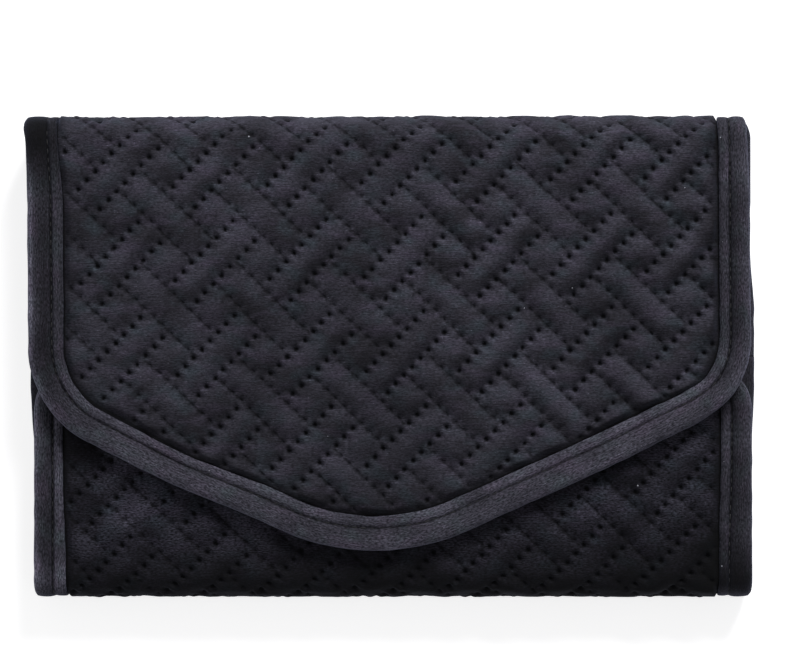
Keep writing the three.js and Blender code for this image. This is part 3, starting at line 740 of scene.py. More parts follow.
@dataclass(frozen=True)
class Velvet:
    """Polyester velvet, knitted and sheared: a dense dark pile with a soft grazing sheen."""

    name: str
    pile: str
    shade: str
    tints: tuple[str, str]
    weld: str = "#040406"
    lint_colour: str = "#8f909a"
    sheen_tint: str = "#7d84a2"
    sheen: float = 0.26
    streak: float = 0.26
    grain: float = 0.42

    def material(self) -> Material:
        """Makes the material."""
        finish = Finish(
            self.name,
            Roughness=0.92,
            Specular_IOR_Level=0.12,
            Sheen_Weight=self.sheen,
            Sheen_Roughness=0.42,
            Sheen_Tint=linear(self.sheen_tint),
        )
        tree = finish.tree
        cloth = add_node(tree, "UVMap", uv_map="cloth").outputs[0]
        lit = {0: self.pile_colour(tree, cloth), "Scale": self.brightness(tree, cloth)}
        shaded = add_node(tree, "VectorMath", lit, operation="SCALE").outputs[0]
        # Welded marks are pressed flat and read nearly black; on the bindings the same mark is painted shade
        # in the stitched groove and on faces out of sight.
        mark = add_node(tree, "Attribute", attribute_name="weld").outputs["Fac"]
        weld = {0: mark, 6: shaded, 7: linear(self.weld)}
        welded = add_node(tree, "Mix", weld, data_type="RGBA").outputs[2]
        lint = {0: self.lint(tree, cloth), 6: welded, 7: linear(self.lint_colour)}
        dusted = add_node(tree, "Mix", lint, data_type="RGBA").outputs[2]
        return finish.done(dusted, noise(tree, cloth, (0.8, 0.4, 0.5), 3), 0.6, 0.3)

    def pile_colour(self, tree: Tree, cloth: Socket) -> Socket:
        """Colour of the pile: where it leans differently it looks darker, greener or more violet."""
        clouds = {"Fac": noise(tree, cloth, (17, 13, 15), 4)}
        stops = (0.38, self.shade), (0.6, self.pile)
        colour = add_node(tree, "ValToRGB", clouds, stops).outputs[0]
        for tint, size in zip(self.tints, ((9, 7, 9), (13, 5, 8))):
            patches = {"Value": noise(tree, cloth, size, 2), 1: 0.5, 2: 0.7, 3: 0.0, 4: 0.8}
            share = add_node(tree, "MapRange", patches).outputs[0]
            both = {0: share, 6: colour, 7: linear(tint)}
            colour = add_node(tree, "Mix", both, data_type="RGBA").outputs[2]
        return colour

    def brightness(self, tree: Tree, cloth: Socket) -> Socket:
        """How bright the pile is: painted light and shade from the lean mark, the knit's rows, its fibres'
        tips and painted shade along the seams.
        """
        # The pile stands in ragged tufts beside a seam, over a dark line of painted shade.
        ragged = noise(tree, cloth, (1.1, 1.1, 1), 2)
        seam = add_node(tree, "Attribute", attribute_name="seam").outputs["Fac"]
        edge = add_node(tree, "Math", {0: ragged, 1: 1.3, 2: seam}, operation="MULTIPLY_ADD").outputs[0]
        factors = (
            (noise(tree, cloth, (5, 0.42, 1), 2), (0.35, 0.65), (1 - self.streak, 1 + self.streak)),
            (noise(tree, cloth, (1.1, 0.4, 0.5), 2), (0.34, 0.66), (1 - self.grain, 1 + 1.3 * self.grain)),
            (noise(tree, cloth, (0.5, 0.4, 0.5), 1), (0.68, 0.8), (1.0, 3.2)),
            (edge, (0.85, 1.6), (1.0, 0.25)),
        )
        # The lean mark is painted light and shade: lighter where the cloth faces the lamps, darker where it
        # faces away or lies in shadow.
        value = add_node(tree, "Attribute", attribute_name="lean").outputs["Fac"]
        for source, old, new in factors:
            inputs = {"Value": source, 1: old[0], 2: old[1], 3: new[0], 4: new[1]}
            factor = add_node(tree, "MapRange", inputs).outputs[0]
            value = add_node(tree, "Math", {0: value, 1: factor}, operation="MULTIPLY").outputs[0]
        return value

    def lint(self, tree: Tree, cloth: Socket) -> Socket:
        """A few specks of lint, about half a millimetre across."""
        spread = add_node(tree, "Mapping", {"Vector": cloth, "Scale": [1 / (9 * MM)] * 3})
        cells = add_node(tree, "TexVoronoi", {"Vector": spread.outputs[0], "Scale": 1.0})
        distance = {0: cells.outputs["Distance"], 1: 0.028}
        near = add_node(tree, "Math", distance, operation="LESS_THAN").outputs[0]
        chance = add_node(tree, "SeparateColor", {0: cells.outputs["Color"]}).outputs[0]
        rare = add_node(tree, "Math", {0: chance, 1: 0.7}, operation="GREATER_THAN").outputs[0]
        return add_node(tree, "Math", {0: near, 1: rare}, operation="MULTIPLY").outputs[0]


@dataclass(frozen=True)
class NappedCloth:
    """Brushed microfibre or needled felt: an even matt surface with a short nap and faint rubbed clouds."""

    name: str
    light: str
    dark: str
    nap: float = 0.35
    relief: float = 0.3

    def material(self) -> Material:
        """Makes the material."""
        sheen = {"Sheen_Weight": 0.2, "Sheen_Roughness": 0.5}
        finish = Finish(self.name, Roughness=0.88, Specular_IOR_Level=0.2, **sheen)
        tree, where = finish.tree, finish.place()
        fine = noise(tree, where, (self.nap, self.nap, self.nap), 3)
        faint = add_node(tree, "Math", {0: fine, 1: 0.45}, operation="MULTIPLY").outputs[0]
        clouds = {0: noise(tree, where, (18, 18, 18), 4), 1: 0.55, 2: faint}
        share = add_node(tree, "Math", clouds, operation="MULTIPLY_ADD").outputs[0]
        stops = (0.35, self.dark), (0.65, self.light)
        colour = add_node(tree, "ValToRGB", {"Fac": share}, stops).outputs[0]
        return finish.done(colour, fine, self.relief, 0.2)


@dataclass(frozen=True)
class WovenTape:
    """Polyester zip tape, woven in a fine herringbone: matt ribs along the zip."""

    name: str
    light: str
    dark: str
    rib: float = 0.55

    def material(self) -> Material:
        """Makes the material."""
        finish = Finish(self.name, Roughness=0.8, Specular_IOR_Level=0.3)
        tree, where = finish.tree, finish.place()
        # The wave node has a rib every 0.314 / scale.
        scale = 1 / (self.rib * MM) / (2 * math.pi) * 0.314
        waves = {"Vector": where, "Scale": scale, "Distortion": 0.6, "Detail": 1.0}
        ribs = add_node(tree, "TexWave", waves, bands_direction="Y").outputs["Fac"]
        threads = {0: ribs, 1: noise(tree, where, (0.4, 0.8, 0.4), 2)}
        both = add_node(tree, "Math", threads, operation="MULTIPLY").outputs[0]
        stops = (0.0, self.dark), (0.6, self.light)
        colour = add_node(tree, "ValToRGB", {"Fac": both}, stops).outputs[0]
        return finish.done(colour, both, 0.4, 0.1)


@dataclass(frozen=True)
class Hard:
    """A plated, pressed or moulded surface with fine handling marks."""

    name: str
    colour: str
    metallic: float
    roughness: float
    marks: float = 0.08

    def material(self) -> Material:
        """Makes the material."""
        finish = Finish(self.name, Metallic=self.metallic)
        tree = finish.tree
        rubbed = noise(tree, finish.place(), (2.5, 0.5, 1.5), 3)
        span = max(0.03, self.roughness - self.marks), self.roughness + self.marks
        inputs = {"Value": rubbed, 1: 0.3, 2: 0.7, 3: span[0], 4: span[1]}
        rough = add_node(tree, "MapRange", inputs).outputs[0]
        tree.links.new(rough, finish.shader.inputs["Roughness"])
        base = linear(self.colour)
        worn = tuple(0.82 * c for c in base[:3]) + (1.0,)
        tone = add_node(tree, "Mix", {0: rubbed, 6: worn, 7: base}, data_type="RGBA").outputs[2]
        return finish.done(tone, rubbed, 0.08, 0.02)


class Finishes:
    """Every material of the clutch, made once."""

    def __init__(self) -> None:
        """Makes them all."""
        flap = ("polyester_velvet_quilted", "#35343d", "#242329", ("#2e343b", "#383440"))
        self.velvet = Velvet(*flap).material()
        # The front's velvet is a darker copy of the quilted velvet: its nap runs the other way, and the rest
        # of the darkness is painted shade.
        front = ("polyester_velvet_nap_down_painted_shade", "#2d2c35", "#1a1920", ("#292d35", "#2d2a35"))
        self.velvet_front = Velvet(*front, sheen=0.12, grain=0.8).material()
        binding = ("polyester_velvet_binding", "#33323a", "#28272e", ("#2f3338", "#37323d"))
        self.binding = Velvet(*binding, sheen=0.38, streak=0.3, grain=0.64).material()
        self.lining = NappedCloth("microfibre_suede_lining", "#8d8a8f", "#7c797e").material()
        self.pocket = NappedCloth("microfibre_suede_pocket", "#97949a", "#868388").material()
        self.felt = NappedCloth("needled_felt", "#85828a", "#6d6a72", nap=0.8, relief=0.6).material()
        self.wadding = NappedCloth("polyester_wadding", "#ecebe6", "#dddbd4", nap=1.2, relief=0.7).material()
        self.tape = WovenTape("polyester_zip_tape", "#45454d", "#26262b").material()
        self.coil = Hard("nylon_zip_coil", "#35353b", 0.0, 0.38).material()
        self.nickel = Hard("nickel_plated_zinc", "#cbc8c2", 1.0, 0.24).material()
        self.steel = Hard("pressed_steel", "#a3a3a3", 1.0, 0.36).material()
        self.dark_thread = Hard("polyester_thread_black", "#111114", 0.0, 0.75).material()
        self.grey_thread = Hard("polyester_thread_grey", "#a5a2a6", 0.0, 0.6).material()


# The weave


@dataclass(frozen=True)
class Weave:
    """Quilting in a basket weave on the slant: bars and squares, welded along their long edges in dots.

    Places are counted in half repeats: a across a bar that runs up to the right, b across the other bars.
    Bars cross at even numbers, where every second one lies on top.
    """

    unit: float = 10.97
    slant: float = math.radians(43.9)
    origin: tuple[float, float] = (51.2, 208.4)
    bar: float = 0.897
    dots: int = 8
    pitch: float = 0.357
    crown: float = 2.25
    seam: float = 0.5
    tooth: float = 0.075
    seed: int = 11

    def puff(self, a: Points, b: Points) -> tuple[Points, Points, Points, Points]:
        """The puff at places: its middle in a and b, and half its size along both."""
        narrow, square, long = self.bar / 2, 1 - self.bar / 2, 2 - self.bar / 2
        i, j = 2 * np.rint(a / 2), 2 * np.rint(b / 2)
        next_i, next_j = i + 2 * np.where(a > i, 1, -1), j + 2 * np.where(b > j, 1, -1)
        in_row, in_column = np.abs(a - i) < narrow, np.abs(b - j) < narrow
        down = ((i + j) / 2) % 2 == 0
        is_down = np.where(in_row & in_column, down, in_column)
        is_up = np.where(in_row & in_column, ~down, in_row)
        mid_a = np.where(in_column & ~in_row & ~down, next_i, i)
        mid_b = np.where(in_row & ~in_column & down, next_j, j)
        plain = ~in_row & ~in_column
        mid_a, mid_b = np.where(plain, (i + next_i) / 2, mid_a), np.where(plain, (j + next_j) / 2, mid_b)
        half_a = np.where(plain, square, np.where(is_down, long, narrow))
        half_b = np.where(plain, square, np.where(is_up, long, narrow))
        return mid_a, mid_b, half_a, half_b

    def marks(self, first: Points, second: Points, odd: int) -> tuple[Points, Points, Points, Points]:
        """The nearest welded mark along the long edges of one kind of bar.

        Args:
            first: place across those bars.
            second: place along them.
            odd: 0 for the bars on top at the first crossing, 1 for the others.

        Returns:
            Distances across and along from the mark, how far along between two marks, and where a seam is.
        """
        i, j = 2 * np.rint(first / 2), 2 * np.rint(second / 2)
        on_top = ((i + j) / 2) % 2 == odd
        middle = np.where(on_top, j, j + 2 * np.where(second > j, 1, -1))
        line = i + self.bar / 2 * np.where(first > i, 1, -1)
        number = (second - middle) / self.pitch + (self.dots - 1) / 2
        near = np.clip(np.rint(number), 0, self.dots - 1)
        seam = np.abs(second - middle) < 2 - self.bar / 2
        return (first - line) * self.unit, (number - near) * self.pitch * self.unit, number, seam

    def lattice(self, x: Points, s: Points) -> tuple[Points, Points]:
        """Places a and b, on hand-fed cloth that strays a little from the straight lattice."""
        dx, ds = x - self.origin[0], s - self.origin[1]
        dx = dx + 0.35 * soft_noise(x / 21, s / 21, 8) + 0.16 * soft_noise(x / 2.6, s / 2.6, 9)
        ds = ds + 0.35 * soft_noise(x / 21, s / 21, 10) + 0.16 * soft_noise(x / 2.6, s / 2.6, 12)
        across, along = math.cos(self.slant), math.sin(self.slant)
        return (dx * across + ds * along) / self.unit, (dx * along - ds * across) / self.unit

    def welded(self, x: Points, s: Points, a: Points, b: Points, height: Points) -> tuple[Points, Points]:
        """Heights with the marks pressed in, and how far places are welded.

        Crisp round dots lie beside the bars that run up, shallow slits beside those that run down.
        """
        weld = np.zeros_like(height)
        for first, second, odd, wide, long, depth in ((a, b, 1, 0.8, 0.8, 0.5), (b, a, 0, 0.45, 0.85, 0.3)):
            aside, ahead, number, seam = self.marks(first, second, odd)
            uneven = 1 + 0.16 * soft_noise(x / 1.9, s / 1.9, 14 + odd)
            mark = np.exp(-((np.hypot(aside / wide, ahead / long) * uneven) ** 8))
            dent = np.hypot(aside / 1.7, ahead / 1.3)
            height = height - (0.3 + 0.25 * odd) * np.exp(-(dent**2)) - mark * depth
            weld = np.maximum(weld, mark * (0.62 + 0.38 * odd))
            # Between two marks the cloth bulges over the seam in a small peak.
            peak = (1 - np.cos(2 * np.pi * number)) / 2 * np.exp(-((aside / 1.5) ** 2))
            height = height + seam * (0.2 + 0.25 * odd) * peak
        return height, weld

    def relief(self, x: Points, s: Points, strength: Points, lift: Points) -> tuple[Points, Points, Points]:
        """Height of the velvet over its flat face, how far it is welded, and how much painted shade its seams
        get.

        Args:
            x: across the strip.
            s: along the strip.
            strength: how full the puffs are there.
            lift: how far the seams are raised there.

        Returns:
            Heights in millimetres, weld values and seam values of painted shade, from 0 to 1.
        """
        a, b = self.lattice(x, s)
        # Between two dots the lower puff pushes a tooth over the seam.
        aside, _, number, seam = self.marks(a, b, 1)
        tooth = self.tooth * seam * (1 - np.cos(2 * np.pi * number)) / 2 * np.exp(-((aside / 2.0) ** 2))
        mid_a, mid_b, half_a, half_b = self.puff(a + tooth, b)
        to_side_a = (half_a - np.abs(a + tooth - mid_a)) * self.unit
        to_side_b = (half_b - np.abs(b - mid_b)) * self.unit
        rng = np.random.default_rng(self.seed)
        luck = rng.uniform(-1, 1, (64, 64, 3))[mid_a.astype(int) % 64, mid_b.astype(int) % 64]

        def crowned(gap: Points, reach: Points, blunt: float) -> Points:
            soft = np.hypot(np.maximum(gap, 0), blunt) - blunt
            return 1 - (1 - np.clip(soft / (np.minimum(reach, 0.6) * self.unit - blunt * 0.5), 0, 1)) ** 1.9

        full = (crowned(to_side_a, half_a, 0.55) * crowned(to_side_b, half_b, 0.35)) ** 0.9
        crown = np.maximum(self.crown * strength * (1 + 0.2 * luck[..., 0]), 1.2)
        lean = 0.34 * full * (luck[..., 1] * (a - mid_a) + luck[..., 2] * (b - mid_b))
        low = self.seam + lift
        height = low + np.maximum(crown - low, 0.2) * full + lean
        # Painted shade along the seams: only the slits' seams read as thin broken lines, wider on one side;
        # between two dots the cloth is hardly pinched.
        broken = 0.72 + 0.3 * soft_noise(x / 3.1, s / 3.1, 13)
        width = np.where(b > mid_b, 0.95, 0.35)
        slits = broken * np.exp(-((to_side_b / width) ** 2))
        near_seam = np.maximum(0.3 * np.exp(-((to_side_a / 0.4) ** 2)), slits)
        height, weld = self.welded(x, s, a, b, height)
        height = height + 0.07 * soft_noise(x / 1.7, s / 1.7, 5) + 0.22 * soft_noise(x / 5.5, s / 5.5, 6)
        return height, weld, near_seam * (1 - weld)


class Quilting:
    """The quilted velvet: four closed sheets that meet in the middle of the folds and of the back."""

    inset = 2.2
    velvet = 1.15
    # How high the table lets the back's puffs stand, and how gently it flattens them.
    pressed = 1.56
    gently = 0.12
    # The inner face has a point behind every fifth row and every tenth column of the outer one.
    rows = 5
    columns = 10

    def __init__(self, finishes: Finishes, step: float) -> None:
        """Takes the finishes and the grid's step in millimetres."""
        self.finishes, self.step, self.weave = finishes, step, Weave()

    def inside_edge(self, x: Points, s: Points) -> Points:
        """Distance of places inwards from the clutch's edge."""
        flap, front = s - STRIP.flap_start, -STRIP.bottom_fold - s
        depth = STRIP.half(s) - np.abs(x)
        depth = np.where(flap > 0, np.minimum(depth, FLAP_EDGE.depth(x, flap)), depth)
        return np.where(front > 0, np.minimum(depth, FRONT_EDGE.depth(x, front)), depth)

    def beyond_lip(self, x: Points, s: Points) -> Points:
        """Distance of places inwards from the binding's lip."""
        return self.inside_edge(x, s) - LIE.at(x, s)[2]

    def heights(self, x: Points, s: Points) -> tuple[Points, Points, Points]:
        """Heights of the velvet, its weld values and its seam values of painted shade.

        They are flattened at folds, beside the bindings and where the back rests on the table.
        """
        strength = 0.9 + 0.17 * np.clip(x / 80, -1, 1) + 0.14 * soft_noise(x / 34, s / 34, 3)
        top, bottom = STRIP.top_share(s), STRIP.bottom_share(s)
        strength = strength * (1 - 0.28 * top - 0.46 * bottom)
        front = s < -STRIP.bottom_fold
        strength = np.where(front, np.minimum(strength, 0.86), strength)
        height, weld, seam = self.weave.relief(x, s, strength, 0.45 * top + 0.75 * bottom)
        clear = self.beyond_lip(x, s)
        open_share = ramp(clear, 0.1, 2.6 - 1.6 * STRIP.fold_share(s))
        height = -0.15 + (height + 0.15) * open_share
        weld = weld * ramp(clear, 0.4, 1.1)
        # Beside the binding's lip the seam value paints the lip's shadow.
        seam = np.maximum(seam * open_share, 1.5 * (1 - ramp(clear, 0.0, 1.0)))
        # The back's puffs lie flat on the table.
        under = ramp(s, -4, 4) * (1 - ramp(s, STRIP.back - 4, STRIP.back + 4))
        soft = self.pressed - self.gently * np.log1p(np.exp((self.pressed - height) / self.gently))
        height = height * (1 - under) + np.where(height > 1.1, soft, height) * under
        return height, weld, seam

    def lean(self, x: Points, s: Points, height: Points) -> Points:
        """How bright the pile is painted: painted light and shade on slopes towards and away from the lamps,
        painted shadow beside the lips, and random tone.
        """
        rise = np.gradient(height, s[:, 0], axis=0)
        aside = np.gradient(height, axis=1) / np.maximum(np.gradient(x, axis=1), 0.1)
        # Painted light and shade: slopes that face the key lamp are lighter, those that face away darker,
        # deeper in random patches.
        slope = np.tanh(1.5 * (rise + (1.9 - 1.15 * ramp(x, -60, 60)) * aside))
        crushed = 1 + 0.9 * soft_noise(x / 8, s / 8, 18)
        value = 1 + np.where(slope > 0, 0.2 * slope, 0.3 * slope * crushed)
        front = self.front_shade(x, s)
        value = value * (front + (1 - front) * ramp(s, -STRIP.bottom_fold + 3, 2))
        # The two finishes meet in the middle of the bottom fold: the back's side is painted darker there,
        # towards the front's darker copy.
        value = value * (1 - 0.27 * (s > -STRIP.bottom_fold / 2) * (1 - ramp(s, -7, 3)))
        # Darker beyond the bottom fold, in the flap's middle and towards the flap's tip.
        flap = ramp(s, STRIP.flap_start + 2, STRIP.flap_start + 14)
        value = value * (1 - ramp(s, 0, 6) * 0.15 - flap * (0.03 + 0.07 * np.exp(-(((x + 5) / 45) ** 2))))
        value = value * (1 - 0.12 * ramp(s, STRIP.flap_start + 60, STRIP.flap_start + 130))
        # Painted shadow of the binding's lip on the velvet beside it.
        value = value * (0.32 + 0.68 * ramp(self.beyond_lip(x, s), -0.5, 5.0))
        return value * (1 + 0.25 * soft_noise(x / 24, s / 30, 17))

    def front_shade(self, x: Points, s: Points) -> Points:
        """Painted shade on the front's crushed pile: darker down to the bottom fold, towards the right and in
        patches.
        """
        front = 1.0 - 0.88 * ramp(s, -STRIP.bottom_fold - 32, -STRIP.bottom_fold)
        front = front * (1 - 0.42 * ramp(x, 10, 70)) * (1 + 0.35 * soft_noise(x / 11, s / 8, 19))
        # Painted shadow of the flap at the front's left edge, higher up towards the flap.
        front = front * (1 - 0.68 * (1 - ramp(x, -106, -86)) * (1 - ramp(s, -66, -26)))
        # Painted shade at the right near the bottom fold, and lighter at the right higher up.
        corner = ramp(x, 78, 108)
        return front * (1 - 0.6 * corner * ramp(s, -48, -26)) * (1 + 0.9 * corner * (1 - ramp(s, -70, -54)))

    def sheet(self, name: str, low: float, high: float, step: float, finish: Material) -> Piece:
        """One closed sheet of quilted velvet.

        Args:
            name: the piece's name.
            low: where it starts along the strip.
            high: where it ends.
            step: of its grid.
            finish: its material.

        Returns:
            The piece.
        """
        size = int((high - low) / step) + 1, int(2 * STRIP.body_half / step) + 1
        xx, ss = strip_grid(low, high, *size, self.inset)
        height, weld, seam = self.heights(xx, ss)
        outer = STRIP.place(xx, ss, -height)
        rows = np.unique(np.append(np.arange(0, size[0], self.rows), size[0] - 1))
        cols = np.unique(np.append(np.arange(0, size[1], self.columns), size[1] - 1))
        coarse = np.ix_(rows, cols)
        inner = STRIP.place(xx[coarse], ss[coarse], np.full((len(rows), len(cols)), self.velvet))
        points, faces, rim = slab(outer, inner, rows.tolist(), cols.tolist())
        grids = (xx, ss), (xx[coarse], ss[coarse])
        cloth = np.concatenate([np.stack(grid, -1).reshape(-1, 2) for grid in grids])
        behind = np.zeros(len(rows) * len(cols))
        # The lean mark carries the painted light and shade.
        marks = {"weld": weld, "seam": seam, "lean": self.lean(xx, ss, height)}
        for key, values in marks.items():
            marks[key] = np.concatenate([values.ravel(), behind + (key == "lean")])
        piece = make_piece(name, points, faces, finish, cloth, marks, rim)
        LOG.info("%s: %d points", name, len(points))
        return piece

    def build(self) -> None:
        """Builds the four sheets."""
        top, bottom, middle = STRIP.middles
        flap_end, front_end = FLAP_END - self.inset - 0.05, FRONT_END + self.inset + 0.05
        velvet, front = self.finishes.velvet, self.finishes.velvet_front
        fine, wide = self.step, self.step * 1.3
        upper = "back_quilt", "top_fold_quilt"
        jobs = (
            ("flap_velvet", top, flap_end, fine, velvet, Joint.TOP_FLAP, ("flap_quilt",)),
            ("back_velvet_upper", middle, top, wide, velvet, Joint.BACK_TOP, upper),
            ("back_velvet_lower", bottom, middle, wide, velvet, Joint.BACK_BOTTOM, ("bottom_fold_quilt",)),
            ("front_velvet", front_end, bottom, fine, front, Joint.BOTTOM_FRONT, ("front_quilt",)),
        )
        for name, low, high, step, finish, joint, nodes in jobs:
            piece = self.sheet(name, low, high, step, finish)
            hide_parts(*nodes)
            joint.bend(piece)


class Layers:
    """Wadding pads inside the panels, and the lining, which runs through all the folds."""

    # The pads' rows, columns, distance from the edge and depth.
    pad_rows = 60
    pad_columns = 81
    pad_inset = 5.6
    pad_depth = 1.32
    # The lining's step, columns, distance from the edge and thickness.
    step = 1.6
    columns = 151
    inset = 2.2
    thickness = 0.68

    def __init__(self, finishes: Finishes) -> None:
        """Takes the finishes."""
        self.finishes = finishes

    def pad(self, body: str, low: float, high: float, plate: tuple[float, float] | None) -> None:
        """A pad of wadding with pinched edges, thin where a snap's plate lies on it.

        Args:
            body: the body that it rides on, whose name it takes.
            low: where it starts along the strip.
            high: where it ends.
            plate: middle (x, s) of the snap's plate, if it has one.
        """
        xx, ss = strip_grid(low, high, self.pad_rows, self.pad_columns, self.pad_inset)
        to_side = np.minimum(xx - xx[:, :1], xx[:, -1:] - xx)
        edge = np.minimum(to_side, np.minimum(ss - low, high - ss))
        thick = 0.25 + 0.85 * ramp(edge, 0, 6) + 0.04 * soft_noise(xx / 6, ss / 6, 21)
        if plate is not None:
            far = np.hypot(xx - plate[0], ss - plate[1])
            thick = 0.15 + (thick - 0.15) * ramp(far, 8.6, 12)
        outer, inner = STRIP.place(xx, ss, self.pad_depth), STRIP.place(xx, ss, self.pad_depth + thick)
        points, faces, rim = slab(outer, inner, range(self.pad_rows), range(self.pad_columns))
        piece = make_piece(f"{body}_wadding_pad", points, faces, self.finishes.wadding, flat_from=rim)
        settle(piece, "wadding", body, f"{body}_wadding")

    def lining(
        self,
        name: str,
        low: float,
        high: float,
        joint: Joint,
        nodes: Sequence[str],
        pad: str,
    ) -> None:
        """One sheet of lining.

        Args:
            name: the piece's name.
            low: where it starts along the strip.
            high: where it ends.
            joint: the fold that it bends across.
            nodes: the CAD nodes that it stands for.
            pad: the pad of wadding that it lies on; not used.
        """
        rows = int((high - low) / self.step) + 1
        xx, ss = strip_grid(low, high, rows, self.columns, self.inset)
        depth = STRIP.lining(ss)
        creases = 0.1 * soft_noise(xx / 9, ss / 9, 31) * STRIP.fold_share(ss)
        outer = STRIP.place(xx, ss, depth)
        inner = STRIP.place(xx, ss, depth + self.thickness + creases)
        points, faces, rim = slab(outer, inner, range(rows), range(self.columns))
        piece = make_piece(name, points, faces, self.finishes.lining, flat_from=rim)
        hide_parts(*nodes)
        joint.bend(piece)

    def build(self) -> None:
        """Builds pads and linings."""
        top, bottom, middle = STRIP.middles
        on_flap = FLAP_SNAP[0], STRIP.flap_start + FLAP_SNAP[1]
        on_front = -FRONT_SNAP[0], -STRIP.bottom_fold - FRONT_SNAP[1]
        jobs = (
            ("back", 6.0, STRIP.back - 6, None),
            ("flap", STRIP.flap_start + 6, FLAP_END - 5.8, on_flap),
            ("front", FRONT_END + 5.8, -STRIP.bottom_fold - 6, on_front),
        )
        for job in jobs:
            self.pad(*job)
        jobs = (
            ("flap_lining_cloth", top, FLAP_END - 2.3, Joint.TOP_FLAP, ("flap_lining",), "flap"),
            ("back_lining_upper", middle, top, Joint.BACK_TOP, ("back_lining", "top_fold_lining"), "back"),
            ("back_lining_lower", bottom, middle, Joint.BACK_BOTTOM, ("bottom_fold_lining",), "back"),
            ("front_lining_cloth", FRONT_END + 2.3, bottom, Joint.BOTTOM_FRONT, ("front_lining",), "front"),
        )
        for *job, body in jobs:
            self.lining(*job, f"{body}_wadding_pad")


# Bindings


class Bindings:
    """Velvet binding folded over every edge: a rolled band, a stitched groove and a narrow lip."""

    # Distance inwards from the edge, face (0 outer, 1 inner), and height over that face.
    outer_face: Outline = (
        (10.75, 0.08), (10.8, 0.45), (10.5, 0.85), (9.9, 1.08), (9.1, 1.12), (8.4, 0.95), (7.95, 0.55),
        (7.7, 0.3), (7.45, 0.36), (7.1, 0.8), (6.5, 1.2), (5.5, 1.5), (4.3, 1.62), (3.1, 1.55), (2.0, 1.28),
        (1.1, 0.82), (0.4, 0.2),
    )
    inner_face: Outline = (
        (0.4, 0.1), (1.1, 0.6), (2.2, 0.95), (3.6, 1.08), (5.2, 1.08), (6.5, 0.92), (7.2, 0.6), (7.6, 0.28),
        (7.9, 0.34), (8.4, 0.78), (9.2, 0.98), (10.1, 0.92), (10.6, 0.6), (10.8, 0.12),
    )
    # Widths of an evenly laid tape's band and lip, and how far a fold pulls its groove flat.
    band = 7.7
    lip = 3.1
    evened = 0.6
    # Step along a path, and how far apart the two faces lie on the flat tape.
    step = 0.9
    apart = 14.0

    def __init__(self, finishes: Finishes) -> None:
        """Takes the finishes."""
        self.finishes = finishes

    def side_path(self, low: float, high: float, sign: int) -> Points:
        """Rows of x, s and the direction out, along one side of the body."""
        s = np.linspace(low, high, int(abs(high - low) / self.step) + 1)
        return np.stack([sign * STRIP.half(s), s, np.full(s.shape, float(sign)), np.zeros(s.shape)], 1)

    def round_path(self, edge: Edge, start: float, middle: float, way: int) -> Points:
        """Rows of x, s and the direction out: from a fold's middle, round a panel's edge and back.

        Args:
            edge: the panel's edge.
            start: the panel's fold line along the strip.
            middle: the fold's middle along the strip.
            way: 1 for the flap and -1 for the front.

        Returns:
            The rows.
        """
        line = edge.line(0.0, self.step)
        rows = np.stack([line[:, 0], start + way * line[:, 1], line[:, 2], way * line[:, 3]], 1)
        lead = self.side_path(middle, start, 1)[:-1]
        return np.concatenate([lead, rows, lead[::-1] * np.array([-1, 1, -1, 1])])

    def depth(self, s: Points, face: Points, height: Points) -> Points:
        """Depth t of places on the binding."""
        lining_in = STRIP.lining(s) + 0.7
        return (1 - face) * -height + face * (lining_in + height)

    def stray(self, path: Points, reach: Points, seed: int) -> Points:
        """How far the band's outer edge strays outwards along a path."""
        x, s = path[:, 0], path[:, 1]
        value = LIE.at(x, s)[0] + 0.1 * soft_noise(reach / 4, reach * 0, seed + 3)
        # The top fold's left end flares, and its right end is drawn in.
        top = ramp(s, STRIP.back, STRIP.back + 8) * (1 - ramp(s, STRIP.flap_start - 4, STRIP.flap_start + 10))
        # The body's sides bulge softly, so that they show past the flap.
        bulge = ramp(s, 34, 70) * (1 - ramp(s, 94, 112))
        return value + top * np.where(x < 0, 0.9, -0.2) + bulge * np.where(x < 0, 2.1, 1.27)

    def shade(self, path: Points, w: Points, face: Points, noise: Points) -> Points:
        """How bright the tape's pile is painted: painted light and shade for its lean and its roll, and
        painted highlights on its edges.

        Args:
            path: rows of x, s and the direction out.
            w: distances inwards over the evenly laid tape.
            face: 0 on the outer face and 1 on the inner one.
            noise: slow changes along the tape.

        Returns:
            A brightness for each point.
        """
        x, s, out_x, out_s = (path[:, i : i + 1] for i in range(4))
        across = np.clip(w / self.band, 0, 1)
        # The pile runs along the tape, so it catches the light where the tape runs across the clutch.
        value = 0.76 + 0.55 * np.abs(out_s) + noise
        upright = np.abs(out_x) ** 4
        # Painted shade on the left upright sides of the flap and the top fold.
        value = value * (1 - 0.2 * upright * (x < 0) * ramp(s, STRIP.back, STRIP.flap_start))
        corner = 1 - ramp(s, STRIP.flap_start + 6, STRIP.flap_start + 26)
        corner = corner * ramp(s, STRIP.back, STRIP.back + 9)
        flat = corner * (x > 0)
        # Painted light and shade across the band: bright at its rolled outer edge, darker by the groove,
        # evenly bright at the top fold's right corner.
        band = (0.6 + 1.4 * np.exp(-across / 0.42)) * (1 - flat) + 1.3 * flat
        # Painted shade in a stripe beside the groove on the upright sides.
        pressed = np.where(x < 0, 0.2 + 0.25 * ramp(s, STRIP.flap_start + 25, STRIP.flap_start + 65), 0.1)
        band = band * (1 - pressed * upright * np.exp(-(((across - 0.72) / 0.24) ** 2)))
        # Painted highlight along the outer rim of the left sides of the flap and the front.
        rim = ramp(s, STRIP.flap_start + 8, STRIP.flap_start + 30) + 0.5 * (1 - ramp(s, -30, -18))
        band = band * (1 + 2.2 * rim * (x < 0) * upright * np.exp(-((np.maximum(w, 0) / 1.7) ** 4)))
        on_lip = w > self.band
        # Painted light on the lip, brightest beside the groove.
        over = np.where(on_lip, 1.5 - 0.45 * (w - self.band) / self.lip, band)
